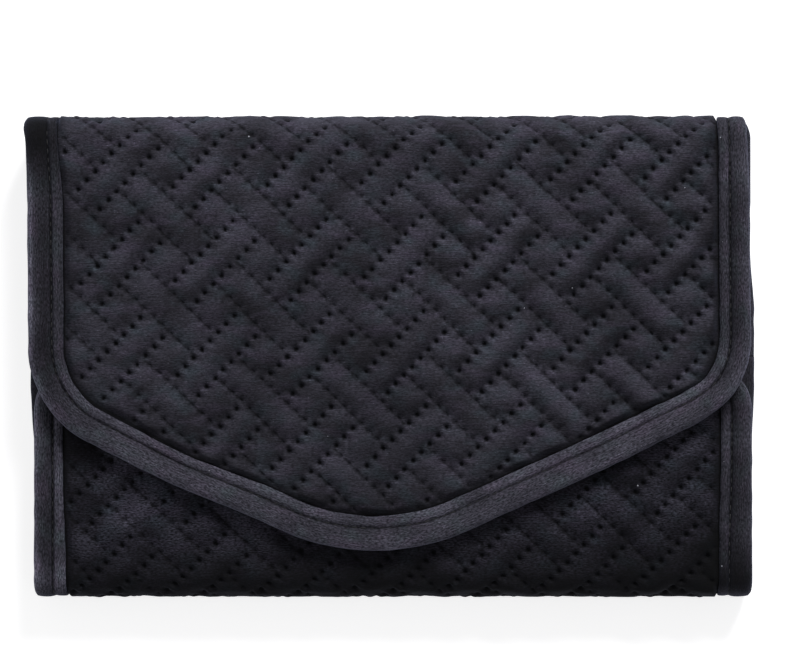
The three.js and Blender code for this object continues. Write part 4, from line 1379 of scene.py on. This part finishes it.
        # Painted shade darkens the top fold's left corner.
        over = over * (1 - np.where(on_lip, 0.62, 0.88) * corner * (x < 0))
        # Painted light on the front binding's left, painted shade on its right towards the bottom fold.
        front = 1 - ramp(s, -STRIP.bottom_fold - 4, -STRIP.bottom_fold + 4)
        left, right = 0.3 + 0.35 * on_lip + 1.3 * ramp(s, -30, -19), -0.05 - 0.9 * ramp(s, -46, -17)
        over = over * (1 + front * np.where(x < 0, left, right))
        return value * np.where(face < 0.5, over, 1.0)

    def profile(self) -> tuple[Points, Points]:
        """The folded tape's outline.

        Returns:
            Rows of distance inwards, face and height, and which of them are in sight.
        """
        loop = [(w, 0.0, h) for w, h in self.outer_face]
        loop += [(0.05, 0.2, 0.0), (-0.1, 0.5, 0.0), (0.05, 0.8, 0.0)]
        loop += [(w, 1.0, h) for w, h in self.inner_face]
        shown = len(loop)
        loop += [(w, 1.0, 0.06) for w in (10.0, 6.0, 2.2)] + [(1.4, 0.5, 0.0)]
        loop += [(w, 0.0, 0.02) for w in (2.2, 6.0, 10.0)]
        return np.array(loop), np.arange(len(loop)) < shown

    def tape(self, name: str, path: Points, seed: int) -> Piece:
        """The folded tape along a path.

        Args:
            name: the piece's name.
            path: rows of x, s and the direction out.
            seed: picks its puckers.

        Returns:
            The piece.
        """
        profile, in_sight = self.profile()
        reach = walked(path[:, :2])
        along, seen = np.meshgrid(reach, in_sight, indexing="ij")
        w, face, height = (np.broadcast_to(profile[:, i], along.shape) for i in range(3))
        # Puckers: the band is eased round corners and folds, and drawn in at the stitching.
        turning = np.abs(np.gradient(np.unwrap(np.arctan2(path[:, 3], path[:, 2])), reach + 1e-9))
        folding = STRIP.fold_share(path[:, 1])
        ease = 0.9 + 9.0 * np.minimum(turning, 0.1) + 0.8 * folding
        ripple = soft_noise(along / 2.6, w / 5.0, seed) + 0.6 * soft_noise(along / 6.5, w / 9.0, seed + 1)
        near_seam = np.exp(-(((w - 7.2) / 3.2) ** 2)) + 0.35
        change = 0.13 * ripple * near_seam * ease[:, None] * (height > 0.15) * seen
        height = height + change
        # On a fold the groove is pulled nearly flat.
        evened = self.evened * folding[:, None] * (face < 0.5) * (w > 1) * (w < 10.6) * seen
        height = height + evened * (1.15 - height)
        _, seam, lip = (value[:, None] for value in LIE.at(path[:, 0], path[:, 1]))
        on_lip = seam + (w - self.band) * (lip - seam) / self.lip
        laid = np.where(w < self.band, w * seam / self.band, on_lip)
        groove = np.exp(-(((w - 7.68) / 0.42) ** 2)) * seen
        # The lean mark is painted light and shade on the tape.
        lean = self.shade(path, w, face, 0.24 * soft_noise(along / 15, w / 9, seed + 6))
        w = np.where(face < 0.5, laid, w)
        stray = self.stray(path, reach, seed)[:, None]
        w = w - np.where(seen, stray * np.exp(-((np.maximum(w, 0) / 4.5) ** 2)), 0.0)
        wavy = 0.15 * soft_noise(along / 5, along * 0, seed + 4)
        w = w + np.where((w > seam + 0.5) & seen, wavy, 0.0)
        x = path[:, 0:1] - path[:, 2:3] * w
        s = path[:, 1:2] - path[:, 3:4] * w
        points = STRIP.place(x, s, self.depth(s, face, height))
        points, faces, ends = swept(points)
        cloth = np.stack([along, w + self.apart * face], -1).reshape(-1, 2)
        # Painted shade in the groove: dark along the sides, and lighter where the tape runs across.
        uneven = 0.9 + 0.3 * soft_noise(along / 6, along * 0, seed + 5)
        groove = groove * (1 - 0.62 * np.abs(path[:, 3:4])) * uneven
        # Faces out of sight are painted nearly black.
        mark = np.maximum(groove, ~seen)
        marks = {"weld": np.clip(mark, 0, 1), "lean": lean, "seam": 1.2 * groove}
        piece = make_piece(name, points, faces, self.finishes.binding, cloth, marks, ends)
        LOG.info("%s: %d points", name, len(points))
        return piece

    def seam(self, name: str, path: Points) -> Piece:
        """Stitching in the groove, on both faces."""
        parts = []
        evened = self.evened * STRIP.fold_share(path[:, 1])
        outer_seam = LIE.at(path[:, 0], path[:, 1])[1]
        for face, low, deep in ((0.0, 0.22 + evened * 0.93, outer_seam), (1.0, 0.24, self.band)):
            x, s = path[:, 0] - path[:, 2] * deep, path[:, 1] - path[:, 3] * deep
            faces, height = np.full(s.shape, face), np.broadcast_to(low, s.shape)
            places = STRIP.place(x, s, self.depth(s, faces, height))
            above = STRIP.place(x, s, self.depth(s, faces, height + 1))
            reach = walked(places)

            def line(at: Points, p: Points = places, r: Points = reach) -> Points:
                return np.stack([np.interp(at, r, p[:, i]) for i in range(3)], 1)

            def out(at: Points, p: Points = above - places, between: Callable = line) -> Points:
                ways = between(at, p)
                return ways / np.linalg.norm(ways, axis=1, keepdims=True)

            parts.append(thread_line(line, out, float(reach[-1]), 3.0, 0.17))
        return make_piece(name, *merged(parts), self.finishes.dark_thread)

    def build(self) -> None:
        """Builds the bindings of the flap, the front and the body's sides."""
        top, bottom, middle = STRIP.middles
        flap = self.round_path(FLAP_EDGE, STRIP.flap_start, top, 1)
        front = self.round_path(FRONT_EDGE, -STRIP.bottom_fold, bottom, -1)
        jobs = [
            ("flap_binding_tape", flap, Joint.TOP_FLAP, ("flap_binding",)),
            ("front_binding_tape", front, Joint.BOTTOM_FRONT, ("front_binding",)),
        ]
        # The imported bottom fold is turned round, so its left binding lies on the right.
        for side, other, sign in (("left", "right", -1), ("right", "left", 1)):
            upper, lower = self.side_path(middle, top, sign), self.side_path(bottom, middle, sign)
            nodes = f"back_binding_{side}", f"top_fold_binding_{side}"
            jobs.append((f"body_binding_upper_{side}", upper, Joint.BACK_TOP, nodes))
            nodes = (f"bottom_fold_binding_{other}",)
            jobs.append((f"body_binding_lower_{side}", lower, Joint.BACK_BOTTOM, nodes))
        for seed, (name, path, joint, nodes) in enumerate(jobs):
            piece = self.tape(name, path, 40 + 7 * seed)
            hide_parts(*nodes)
            joint.bend(piece)
            thread = self.seam(f"{name}_stitching", path)
            joint.bend(thread)


# Fittings


def turned_piece(
    name: str,
    profile: Outline,
    panel: Panel,
    x: float,
    v: float,
    t: float,
    finish: Material,
) -> Piece:
    """A turned piece on a panel.

    Args:
        name: the piece's name.
        profile: (radius, height) points off the axis, from the bottom's middle round to the top's middle.
        panel: the panel that it stands on.
        x: across the panel.
        v: away from the fold line.
        t: depth that heights are counted from.
        finish: its material.

    Returns:
        The piece.
    """
    turn = np.linspace(0, 2 * np.pi, 41)[:-1]
    rings = [panel.place(x + r * np.cos(turn), v + r * np.sin(turn), t + height) for r, height in profile]
    points, faces, ends = swept(np.stack(rings))
    return make_piece(name, points, faces, finish, flat_from=ends)


def strap_mesh(
    panel: Panel,
    across: tuple[float, float],
    start: tuple[float, float],
    end: tuple[float, float],
    layer: tuple[float, float],
    round_end: bool = True,
) -> Mesh:
    """A flat strap of folded cloth with rolled edges.

    Args:
        panel: the panel whose frame it is in.
        across: unit direction across the strap, in (x, v).
        start: middle of its first end.
        end: middle of its last end.
        layer: its lower and upper depth.
        round_end: True if its last end is round.

    Returns:
        Points and faces.
    """
    half = 6.0
    a, b = np.array(start), np.array(end)
    length = float(np.linalg.norm(b - a))
    ahead = (b - a) / length
    rounded = length - half * (1 - np.cos(np.linspace(0, np.pi / 2, 9)))
    u = np.unique(np.append(np.linspace(0, length, int(length / 0.8) + 2), rounded))
    w = np.linspace(-1, 1, 15)
    uu, ww = np.meshgrid(u, w, indexing="ij")
    width = np.full(u.shape, half)
    if round_end:
        gap = np.clip(half - (length - u), 0, half)
        width = np.sqrt(np.maximum(half * half - gap * gap, 0.04))
    out = ww * width[:, None]
    rim = np.minimum((1 - np.abs(ww)) * width[:, None], np.minimum(uu, length - uu))
    edge = np.sqrt(np.clip(rim / 0.7, 0, 1))
    groove = 0.12 * np.exp(-(((rim - 1.5) / 0.35) ** 2))
    middle, thick = (layer[0] + layer[1]) / 2, (layer[1] - layer[0]) / 2
    x = a[0] + ahead[0] * uu + across[0] * out
    v = a[1] + ahead[1] * uu + across[1] * out
    rise = (thick - groove) * (0.35 + 0.65 * edge)
    return plate(panel.place(x, v, middle - rise), panel.place(x, v, middle + rise))


def straight_seams(panel: Panel, rows: Sequence[Sequence[float]], pitch: float, radius: float) -> Mesh:
    """Straight rows of stitches on a panel.

    Args:
        panel: the panel.
        rows: for each row its start x and v, its direction in x and v, its length and its depth.
        pitch: from stitch to stitch.
        radius: of the thread.

    Returns:
        Points and faces of them all.
    """
    up = panel.place(0, 0, 1) - panel.place(0, 0, 0)
    parts = []
    for x, v, dx, dv, length, t in rows:

        def line(at: Points, row: tuple = (x, v, dx, dv, t)) -> Points:
            return panel.place(row[0] + row[2] * at, row[1] + row[3] * at, row[4])

        parts.append(thread_line(line, lambda at: np.broadcast_to(up, (len(at), 3)), length, pitch, radius))
    return merged(parts)


def strap_stitches(panel: Panel, start: tuple[float, float], end: tuple[float, float], t: float) -> Mesh:
    """A row of stitches along both edges of a strap."""
    (x, v), step = start, np.subtract(end, start)
    length = float(np.linalg.norm(step))
    dx, dv = step / length
    rows = [(x - 4.5 * k * dv, v + 4.5 * k * dx, dx, dv, length, t) for k in (-1, 1)]
    return straight_seams(panel, rows, 2.2, 0.16)


@dataclass
class PressStud:
    """A press stud of nickel-plated brass: the stud on the lining and the cap on its strap."""

    finishes: Finishes
    name: str
    x: float
    v: float
    cap_body: str
    # (radius, height) from the bottom's middle round to the top's middle.
    stud_profile: Outline = (
        (0.3, 0), (4.9, 0), (5.0, 0.12), (4.95, 0.35), (4.6, 0.55), (3.2, 0.58), (2.6, 0.5), (1.7, 0.55),
        (1.6, 0.9), (1.75, 1.3), (1.9, 1.5), (1.7, 1.72), (1.0, 1.79), (0.3, 1.8),
    )
    cap_profile: Outline = (
        (0.3, 0), (5.2, 0), (5.55, 0.12), (5.6, 0.35), (5.35, 0.62), (4.95, 0.78), (4.6, 0.72), (4.3, 0.8),
        (3.6, 1.02), (2.6, 1.2), (1.4, 1.28), (0.3, 1.3),
    )

    def build(self) -> None:
        """Builds both halves."""
        halves = (
            ("socket", self.stud_profile, FITTINGS, "stud", "back"),
            ("cap_disc", self.cap_profile, 6.2, "cap", self.cap_body),
        )
        nickel = self.finishes.nickel
        for part, profile, t, node, body in halves:
            piece = turned_piece(f"{self.name}_{part}", profile, BACK, self.x, self.v, t, nickel)
            settle(piece, "hardware", body, f"{self.name}_{node}")


@dataclass
class ZipPocket:
    """A zip pocket: hemmed cloth, two tapes, a closed coil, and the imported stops, slider and pull."""

    finishes: Finishes
    nodes: dict[str, Piece]
    name: str
    panel: Panel
    zip_v: float
    body: str
    inside_half: float = 107.4
    tape_half: float = 104.1
    coil_half: float = 97.0
    tape_width: float = 11.0
    bottom: float = 6.0
    pitch: float = 1.3
    mouth_thread: float = 5.28
    hem_thread: float = 4.36
    # How far across, how thick and how high a loop of the coil is, from its head to its foot.
    loop: tuple[tuple[float, float, float], ...] = (
        (-0.35, 0.3, 0.75), (-0.2, 0.8, 0.8), (0.5, 1.0, 0.85),
        (1.3, 1.0, 0.75), (1.7, 0.85, 0.55), (1.85, 0.3, 0.45),
    )

    def cloth(self) -> None:
        """The pocket's cloth: turned hems at its sides and foot, a loose middle and a stitched mouth."""
        mouth, half = self.zip_v - self.tape_width + 5, self.inside_half
        x = np.unique(np.append(np.linspace(-half, half, 150), [3 - half, half - 3]))
        v = np.linspace(self.bottom, mouth, 40)
        vv, xx = np.meshgrid(v, x, indexing="ij")
        side = np.minimum(half - np.abs(xx), vv - self.bottom)
        loose = ramp(side, 1.5, 6)
        droop = 0.55 * loose * (0.6 + 0.5 * soft_noise(xx / 26, vv / 16, 61))
        droop = droop * (1 - 0.55 * ramp(vv, mouth - 5, mouth))
        hem = 0.22 * ramp(vv, mouth - 5.2, mouth - 4.6) + 0.15 * (1 - ramp(side, 2.6, 3.2))
        edge = 1 - ramp(np.minimum(side, mouth - vv), 0, 0.7)
        low = ON_LINING + 0.6 * ramp(side, 0.4, 3.4)
        high = low + 0.5 + droop + hem - 0.3 * edge
        low = low + 0.4 * droop
        cloth = plate(self.panel.place(xx, vv, low), self.panel.place(xx, vv, high))
        piece = make_piece(f"{self.name}_pocket_cloth", *cloth, self.finishes.pocket)
        settle(piece, "pocket_cloth", self.body, f"{self.name}_pocket")
        wide, tall = 2 * half - 4, mouth - self.bottom - 4
        rows = (
            (2 - half, mouth - 4, 1, 0, wide, self.mouth_thread),
            (2 - half, self.bottom + 1.6, 1, 0, wide, self.hem_thread),
            (1.6 - half, self.bottom + 2, 0, 1, tall, self.hem_thread),
            (half - 1.6, self.bottom + 2, 0, 1, tall, self.hem_thread),
        )
        seams = straight_seams(self.panel, rows, 2.4, 0.17)
        thread = make_piece(f"{self.name}_pocket_stitching", *seams, self.finishes.grey_thread)
        settle(thread, "pocket_cloth", self.body)

    def tapes(self) -> None:
        """Both tapes, with a corded edge beside the coil."""
        for which, low, high in (
            ("upper", self.zip_v + 0.15, self.zip_v + self.tape_width),
            ("lower", self.zip_v - self.tape_width, self.zip_v - 0.15),
        ):
            x = np.linspace(-self.tape_half, self.tape_half, 120)
            v = np.linspace(low, high, 23)
            vv, xx = np.meshgrid(v, x, indexing="ij")
            rim = np.minimum(np.minimum(vv - low, high - vv), self.tape_half - np.abs(xx))
            edge = np.sqrt(np.clip(rim / 0.4, 0, 1))
            wave = 0.03 * soft_noise(xx / 8, vv / 8, 71)
            top = self.panel.place(xx, vv, 3.6 + 0.3 * edge + wave)
            tape = plate(self.panel.place(xx, vv, ON_LINING), top)
            piece = make_piece(f"{self.name}_tape_{which}", *tape, self.finishes.tape)
            settle(piece, "zip_tape", self.body, f"{self.name}_zip_tape_{which}")

    def coil(self) -> None:
        """The coil's teeth: two rows of loops that mesh along the middle, on their stitched cords."""
        count = int(2 * self.coil_half / self.pitch)
        turn = np.arange(8) * 2 * np.pi / 8
        parts = []
        for row, sign in enumerate((1, -1)):
            centre = -self.coil_half + (np.arange(count) + 0.35 + 0.5 * row) * self.pitch
            centre = centre[centre < self.coil_half - 0.4]
            rings = []
            for out, size, lift in self.loop:
                ring_x = centre[:, None] + 0.5 * size * np.cos(turn)
                ring_t = 4.0 + lift + 0.8 * size * np.sin(turn)
                rings.append(self.panel.place(ring_x, self.zip_v + sign * out, ring_t))
            parts.append(many_tubes(np.stack(rings, 1)))
        piece = make_piece(f"{self.name}_coil_teeth", *merged(parts), self.finishes.coil)
        settle(piece, "zip_coil", self.body, f"{self.name}_zip_coil")

    def metal(self) -> None:
        """The stops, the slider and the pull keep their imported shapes, with softened edges."""
        for part in ("zip_stop_start", "zip_stop_end", "zip_slider", "zip_pull"):
            dress_metal(self.nodes[f"{self.name}_{part}"], self.finishes.nickel, 0.22)

    def build(self) -> None:
        """Builds the pocket."""
        self.cloth()
        self.tapes()
        self.coil()
        self.metal()


def dress_metal(node: Piece, finish: Material, width: float) -> None:
    """Gives a packed metal piece its finish and softened edges."""
    node.data.materials.clear()
    node.data.materials.append(finish)
    bevel = node.modifiers.new("softened_edges", "BEVEL")
    bevel.width = width * MM
    bevel.segments = 3
    bevel.limit_method = "ANGLE"
    bevel.angle_limit = math.radians(35)
    bevel.harden_normals = False


@dataclass
class RingBar:
    """The ring bar: a stuffed roll with gathered ends, its sewn strap and its press stud."""

    finishes: Finishes
    v: float = 92.5
    radius: float = 6.2
    hinge: float = -77.4
    start: float = -73.4
    end: float = 75.4
    tab_end: float = 99.4
    anchor: float = -99.3
    sewn: tuple[float, float] = (-98.5, -79.5)
    rests_at: float = 3.5
    tab: tuple[float, float] = (5.3, 6.1)

    def roll(self) -> None:
        """The roll, drawn together in small folds at both ends."""
        x = self.start + (self.end - self.start) * (1 - np.cos(np.linspace(0, np.pi, 150))) / 2
        turn = np.linspace(0, 2 * np.pi, 65)[:-1]
        tt, xx = np.meshgrid(turn, x)
        near = np.minimum(xx - self.start, self.end - xx)
        inside = np.clip(self.radius - near, 0, self.radius) / self.radius
        dome = np.sqrt(np.clip(1 - inside**2, 0.0009, 1))
        gathers = 0.075 * np.cos(13 * tt + 0.8 * np.sin(3 * tt)) * np.exp(-((near / 4.5) ** 2))
        lumps = 0.02 * soft_noise(xx / 14, tt * 1.2, 81) + 0.01 * soft_noise(xx / 4, tt * 2.0, 82)
        seam = -0.05 * np.exp(-(((tt - np.pi * 0.78) / 0.07) ** 2))
        r = self.radius * dome * (1 + gathers + lumps + seam)
        points = BACK.place(xx, self.v + r * np.cos(tt), self.rests_at + self.radius + r * np.sin(tt))
        points, faces, _ = swept(points)
        piece = make_piece("ring_bar_roll", points, faces, self.finishes.pocket)
        settle(piece, "pocket_cloth", "ring_bar", "ring_bar")

    def straps(self) -> None:
        """The strap that the roll lifts on, sewn down at its left end, and the tab at its right end."""
        ends = (self.anchor, self.v), (self.start + 5.5, self.v)
        first = strap_mesh(BACK, (0, 1), *ends, (ON_LINING, 4.2), False)
        piece = make_piece("ring_bar_sewn_strap", *first, self.finishes.pocket)
        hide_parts("ring_bar_anchor")
        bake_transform(piece)
        box = strap_stitches(BACK, (self.sewn[0], self.v), (self.sewn[1], self.v), 4.2)
        thread = make_piece("ring_bar_strap_stitching", *box, self.finishes.grey_thread)
        settle(thread, "pocket_cloth", "back")
        tab = strap_mesh(BACK, (0, 1), (self.end - 5.5, self.v), (self.tab_end, self.v), self.tab)
        piece = make_piece("ring_bar_tab", *tab, self.finishes.pocket)
        settle(piece, "pocket_cloth", "ring_bar")
        row = strap_stitches(BACK, (self.end + 1.0, self.v), (self.tab_end - 4, self.v), 6.08)
        thread = make_piece("ring_bar_tab_stitching", *row, self.finishes.grey_thread)
        settle(thread, "pocket_cloth", "ring_bar")

    def build(self) -> None:
        """Builds the ring bar."""
        self.roll()
        self.straps()
        PressStud(self.finishes, "ring_bar", self.tab_end - 8, self.v, "ring_bar").build()


@dataclass
class NecklaceStraps:
    """Three straps that hold necklaces, on a padded band."""

    finishes: Finishes
    hinge_v: float = 146.0
    end_v: float = 112.0
    spacing: float = 70.0
    band_half: float = 100.0
    band: tuple[float, float] = (146.3, 152.3)
    strap: tuple[float, float] = (5.32, 6.1)

    def padded_band(self) -> None:
        """The band: a soft bar, sewn down along both edges."""
        x = np.linspace(-self.band_half, self.band_half, 120)
        turn = np.linspace(0, 2 * np.pi, 25)[:-1]
        tt, xx = np.meshgrid(turn, x)
        end = np.sqrt(np.clip((self.band_half - np.abs(xx)) / 2.0, 0.02, 1))
        c, s = np.cos(tt), np.sin(tt)
        half = (self.band[1] - self.band[0]) / 2
        wide = np.sign(c) * np.abs(c) ** 0.55 * half * (0.9 + 0.1 * end)
        tall = np.sign(s) * np.abs(s) ** 0.55
        middle = (self.band[0] + self.band[1]) / 2
        puff = 1.18 * end * (1 + 0.06 * soft_noise(xx / 5, tt, 91))
        t = ON_LINING + 1.16 + tall * np.where(tall > 0, puff, 1.1)
        points, faces, _ = swept(BACK.place(xx, middle + wide, t))
        piece = make_piece("necklace_band_pad", points, faces, self.finishes.pocket)
        settle(piece, "pocket_cloth", "back", "necklace_band")

    def build(self) -> None:
        """Builds the band, the straps and their press studs."""
        self.padded_band()
        for i, side in enumerate(("left", "middle", "right")):
            x = (i - 1) * self.spacing
            name, body = f"necklace_strap_{side}", f"{side}_strap"
            mesh = strap_mesh(BACK, (1, 0), (x, self.hinge_v + 1.2), (x, self.end_v), self.strap)
            piece = make_piece(f"{name}_cloth", *mesh, self.finishes.pocket)
            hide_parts(name)
            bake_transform(piece)
            row = strap_stitches(BACK, (x, self.hinge_v - 4), (x, self.end_v + 6), 6.08)
            thread = make_piece(f"{name}_stitching", *row, self.finishes.grey_thread)
            settle(thread, "pocket_cloth", body)
            PressStud(self.finishes, name, x, self.end_v + 8, body).build()


@dataclass
class EarringPanel:
    """A felt panel on the flap's lining, with rows of holes for posts and a stitched edge."""

    finishes: Finishes
    half: float = 84.0
    low: float = 16.0
    high: float = 58.0
    columns: int = 8
    rows: int = 2
    hole: float = 1.3
    thick: float = 1.2
    thread: float = 4.62

    def square(self, per_side: int) -> Points:
        """Points round a square from -1 to 1."""
        edge = []
        for k in range(4 * per_side):
            side, part = divmod(k, per_side)
            f = part / per_side * 2 - 1
            edge.append(((f, -1), (1, f), (-f, 1), (-1, -f))[side])
        return np.array(edge, float)

    def mesh(self) -> Mesh:
        """The panel: one square of rings round each hole, closed into one plate.

        Returns:
            Points and faces.
        """
        per_side, shares = 8, (0.0, 0.06, 0.18, 0.45, 1.0)
        dx, dv = 2 * self.half / self.columns, (self.high - self.low) / self.rows
        edge = self.square(per_side)
        turn = np.arctan2(edge[:, 1] * dv, edge[:, 0] * dx)
        points, faces, index = [], [], {}

        def vertex(p: tuple[float, float, float]) -> int:
            key = tuple(round(c, 4) for c in p)
            if key not in index:
                index[key] = len(points)
                points.append(p)
            return index[key]

        n = 4 * per_side
        for row in range(self.rows):
            for col in range(self.columns):
                cx, cv = -self.half + (col + 0.5) * dx, self.low + (row + 0.5) * dv
                rings = {0: [], 1: []}
                for share in shares:
                    inner = np.stack([np.cos(turn), np.sin(turn)], 1) * self.hole
                    outer = edge * np.array([dx / 2, dv / 2])
                    spot = inner * (1 - share) + outer * share + np.array([cx, cv])
                    to_ends = np.minimum(spot[:, 1] - self.low, self.high - spot[:, 1])
                    rim = np.minimum(self.half - np.abs(spot[:, 0]), to_ends)
                    dome = 0.16 * ramp(rim, 2.5, 9) - 0.16 * (1 - ramp(rim, 0, 0.8))
                    dimple = -0.28 * (1 - ramp(np.full(n, share), 0.0, 0.12))
                    for level in (0, 1):
                        t = np.full(n, ON_LINING) if level == 0 else FITTINGS + self.thick + dome + dimple
                        rings[level].append([vertex((spot[k, 0], spot[k, 1], float(t[k]))) for k in range(n)])
                for k in range(n):
                    j = (k + 1) % n
                    for i in range(len(shares) - 1):
                        faces.append([rings[1][i][k], rings[1][i + 1][k], rings[1][i + 1][j], rings[1][i][j]])
                        faces.append([rings[0][i][j], rings[0][i + 1][j], rings[0][i + 1][k], rings[0][i][k]])
                    faces.append([rings[1][0][j], rings[0][0][j], rings[0][0][k], rings[1][0][k]])
                    a, b = rings[1][-1][k], rings[1][-1][j]
                    pa, pb = points[a], points[b]
                    on_x = abs(abs(pa[0]) - self.half) < 1e-6 and abs(abs(pb[0]) - self.half) < 1e-6
                    on_v = any(abs(pa[1] - e) < 1e-6 and abs(pb[1] - e) < 1e-6 for e in (self.low, self.high))
                    if on_x or on_v:
                        faces.append([a, rings[0][-1][k], rings[0][-1][j], b])
        flat = np.array(points)
        placed = FLAP.place(flat[:, 0], flat[:, 1], flat[:, 2])
        return placed, outward(placed, faces)

    def build(self) -> None:
        """Builds the panel and its stitching."""
        points, faces = self.mesh()
        piece = make_piece("earring_felt", points, faces, self.finishes.felt)
        settle(piece, "felt", "flap", "earring_panel")
        inset = 1.8
        left, low, high = inset - self.half, self.low + inset, self.high - inset
        wide, tall = 2 * (self.half - inset), self.high - self.low - 2 * inset
        rows = (
            (left, low, 1, 0, wide, self.thread),
            (left, high, 1, 0, wide, self.thread),
            (left, low, 0, 1, tall, self.thread),
            (-left, low, 0, 1, tall, self.thread),
        )
        seams = straight_seams(FLAP, rows, 2.6, 0.18)
        thread = make_piece("earring_felt_stitching", *seams, self.finishes.grey_thread)
        settle(thread, "felt", "flap")


@dataclass
class MagneticSnap:
    """The magnetic snap: a rimmed cup on the front and a plate with a nub on the flap."""

    finishes: Finishes
    nodes: dict[str, Piece]

    def build(self) -> None:
        """Builds both halves and dresses their backing plates."""
        nub = (
            (0.3, -1.15), (1.95, -1.15), (2.0, -1.0), (2.0, 0), (8.7, 0), (9.0, 0.15), (9.0, 0.45),
            (8.7, 0.68), (7.9, 0.72), (7.6, 0.6), (7.2, 0.6), (6.9, 0.72), (4.4, 0.72), (3.9, 0.75),
            (3.8, 1.0), (3.8, 2.2), (3.55, 2.45), (0.3, 2.5),
        )
        cup = (
            (0.3, 1.3), (1.95, 1.3), (2.0, 1.2), (2.0, -0.1), (8.7, -0.1), (9.0, -0.3), (9.0, -2.0),
            (8.8, -2.25), (8.3, -2.3), (7.9, -2.2), (7.6, -2.2), (7.2, -2.3), (5.0, -2.3), (4.7, -2.15),
            (4.6, -1.9), (4.6, -0.6), (4.4, -0.45), (0.3, -0.45),
        )
        flap = turned_piece("flap_snap_plate", nub, FLAP, *FLAP_SNAP, FITTINGS, self.finishes.steel)
        front = turned_piece("front_snap_cup", cup, FRONT, *FRONT_SNAP, 0, self.finishes.steel)
        for piece, node, body in ((flap, "flap_snap", "flap"), (front, "front_snap", "front")):
            piece.data.polygons.foreach_set("use_smooth", [True] * len(piece.data.polygons))
            settle(piece, "snap_steel", body, node)
        for node in ("flap_snap_backing", "front_snap_backing"):
            dress_metal(self.nodes[node], self.finishes.steel, 0.15)


# The studio


@dataclass(frozen=True)
class Studio:
    """A pale floor, soft lamps and a camera straight above, as in the photograph."""

    lens: float = 180.0
    view_width: float = 258.7
    look_at: tuple[float, float, float] = (1.25, 7.4, 24.3)
    room_light: float = 0.32
    floor_glow: float = 0.72

    def floor(self) -> None:
        """A white floor that shows as white and keeps the clutch's shadow."""
        material = bpy.data.materials.new("white_floor")
        material.use_nodes = True
        tree = material.node_tree
        tree.nodes.clear()
        inputs = {0: self.shown(tree), 1: self.floor_glow}
        level = add_node(tree, "Math", inputs, operation="MULTIPLY").outputs[0]
        glow = add_node(tree, "Emission", {"Strength": level})
        matt = add_node(tree, "BsdfDiffuse", {"Color": linear("#d9d9db")})
        both = add_node(tree, "AddShader", {0: glow.outputs[0], 1: matt.outputs[0]})
        add_node(tree, "OutputMaterial", {"Surface": both.outputs[0]})
        mesh = bpy.data.meshes.new("floor")
        size = 4.0
        corners = (-size, -size, 0), (size, -size, 0), (size, size, 0), (-size, size, 0)
        mesh.from_pydata(corners, [], [(0, 1, 2, 3)])
        mesh.materials.append(material)
        floor = bpy.data.objects.new("floor", mesh)
        floor.location = (0, 0, -0.0001)
        bpy.context.scene.collection.objects.link(floor)
        floor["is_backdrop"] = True

    def lamp(self, name: str, place: tuple[float, float, float], size: float, power: float) -> None:
        """A square soft lamp that shines at the clutch."""
        light = bpy.data.lights.new(name, "AREA")
        light.size, light.energy = size, power
        lamp = bpy.data.objects.new(name, light)
        lamp.location = place
        lamp.rotation_euler = (Vector((0, 0, 0.01)) - Vector(place)).to_track_quat("-Z", "Y").to_euler()
        bpy.context.scene.collection.objects.link(lamp)

    def room(self) -> bpy.types.World:
        """A room that shows as white and lights the clutch softly."""
        world = bpy.data.worlds.new("plain_room")
        world.use_nodes = True
        tree = world.node_tree
        tree.nodes.clear()
        inputs = {"Value": self.shown(tree), 1: 0.0, 2: 1.0, 3: self.room_light, 4: 1.0}
        level = add_node(tree, "MapRange", inputs).outputs[0]
        glow = add_node(tree, "Background", {"Strength": level})
        add_node(tree, "OutputWorld", {"Surface": glow.outputs[0]})
        return world

    def shown(self, tree: Tree) -> Socket:
        """1 for what the camera sees directly, in a mirror or through glass."""
        path = add_node(tree, "LightPath").outputs
        seen = {0: path["Is Camera Ray"], 1: path["Is Glossy Ray"]}
        either = add_node(tree, "Math", seen, operation="MAXIMUM").outputs[0]
        every = {0: either, 1: path["Is Transmission Ray"]}
        return add_node(tree, "Math", every, operation="MAXIMUM").outputs[0]

    def build(self) -> None:
        """Sets up floor, lamps, world and camera."""
        self.floor()
        self.lamp("key_lamp", (0.35, 0.95, 0.75), 0.45, 17.0)
        self.lamp("fill_lamp", (-0.9, -0.3, 1.1), 1.0, 2.5)
        world = self.room()
        scene = bpy.context.scene
        scene.world = world
        scene.view_settings.view_transform = "Standard"
        camera = bpy.data.cameras.new("camera")
        camera.lens = self.lens
        height = self.view_width * MM * self.lens / camera.sensor_width
        camera.clip_end = 20.0
        holder = bpy.data.objects.new("camera", camera)
        x, y, z = (c * MM for c in self.look_at)
        holder.location = (x, y, z + height)
        scene.collection.objects.link(holder)
        scene.camera = holder


def plain(corners: tuple[Vector, Vector]) -> list[list[float]]:
    """A box's two corners as plain lists."""
    return [[float(c) for c in corner] for corner in corners]


def main() -> None:
    """Builds the clutch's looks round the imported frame."""
    logging.basicConfig(level=logging.INFO, format="%(name)s: %(message)s")
    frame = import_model()
    cad_box = plain(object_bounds())
    nodes = frame["nodes"]
    finishes = Finishes()
    Bindings(finishes).build()
    Quilting(finishes, 0.5).build()
    Layers(finishes).build()
    ZipPocket(finishes, nodes, "back", BACK, 40.0, "back").build()
    ZipPocket(finishes, nodes, "front", FRONT, 52.9, "front").build()
    RingBar(finishes).build()
    NecklaceStraps(finishes).build()
    EarringPanel(finishes).build()
    MagneticSnap(finishes, nodes).build()
    Studio().build()
    {"cad": cad_box, "visual": plain(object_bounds())}
    LOG.info("clutch dressed")


if __name__ == "__main__":
    main()
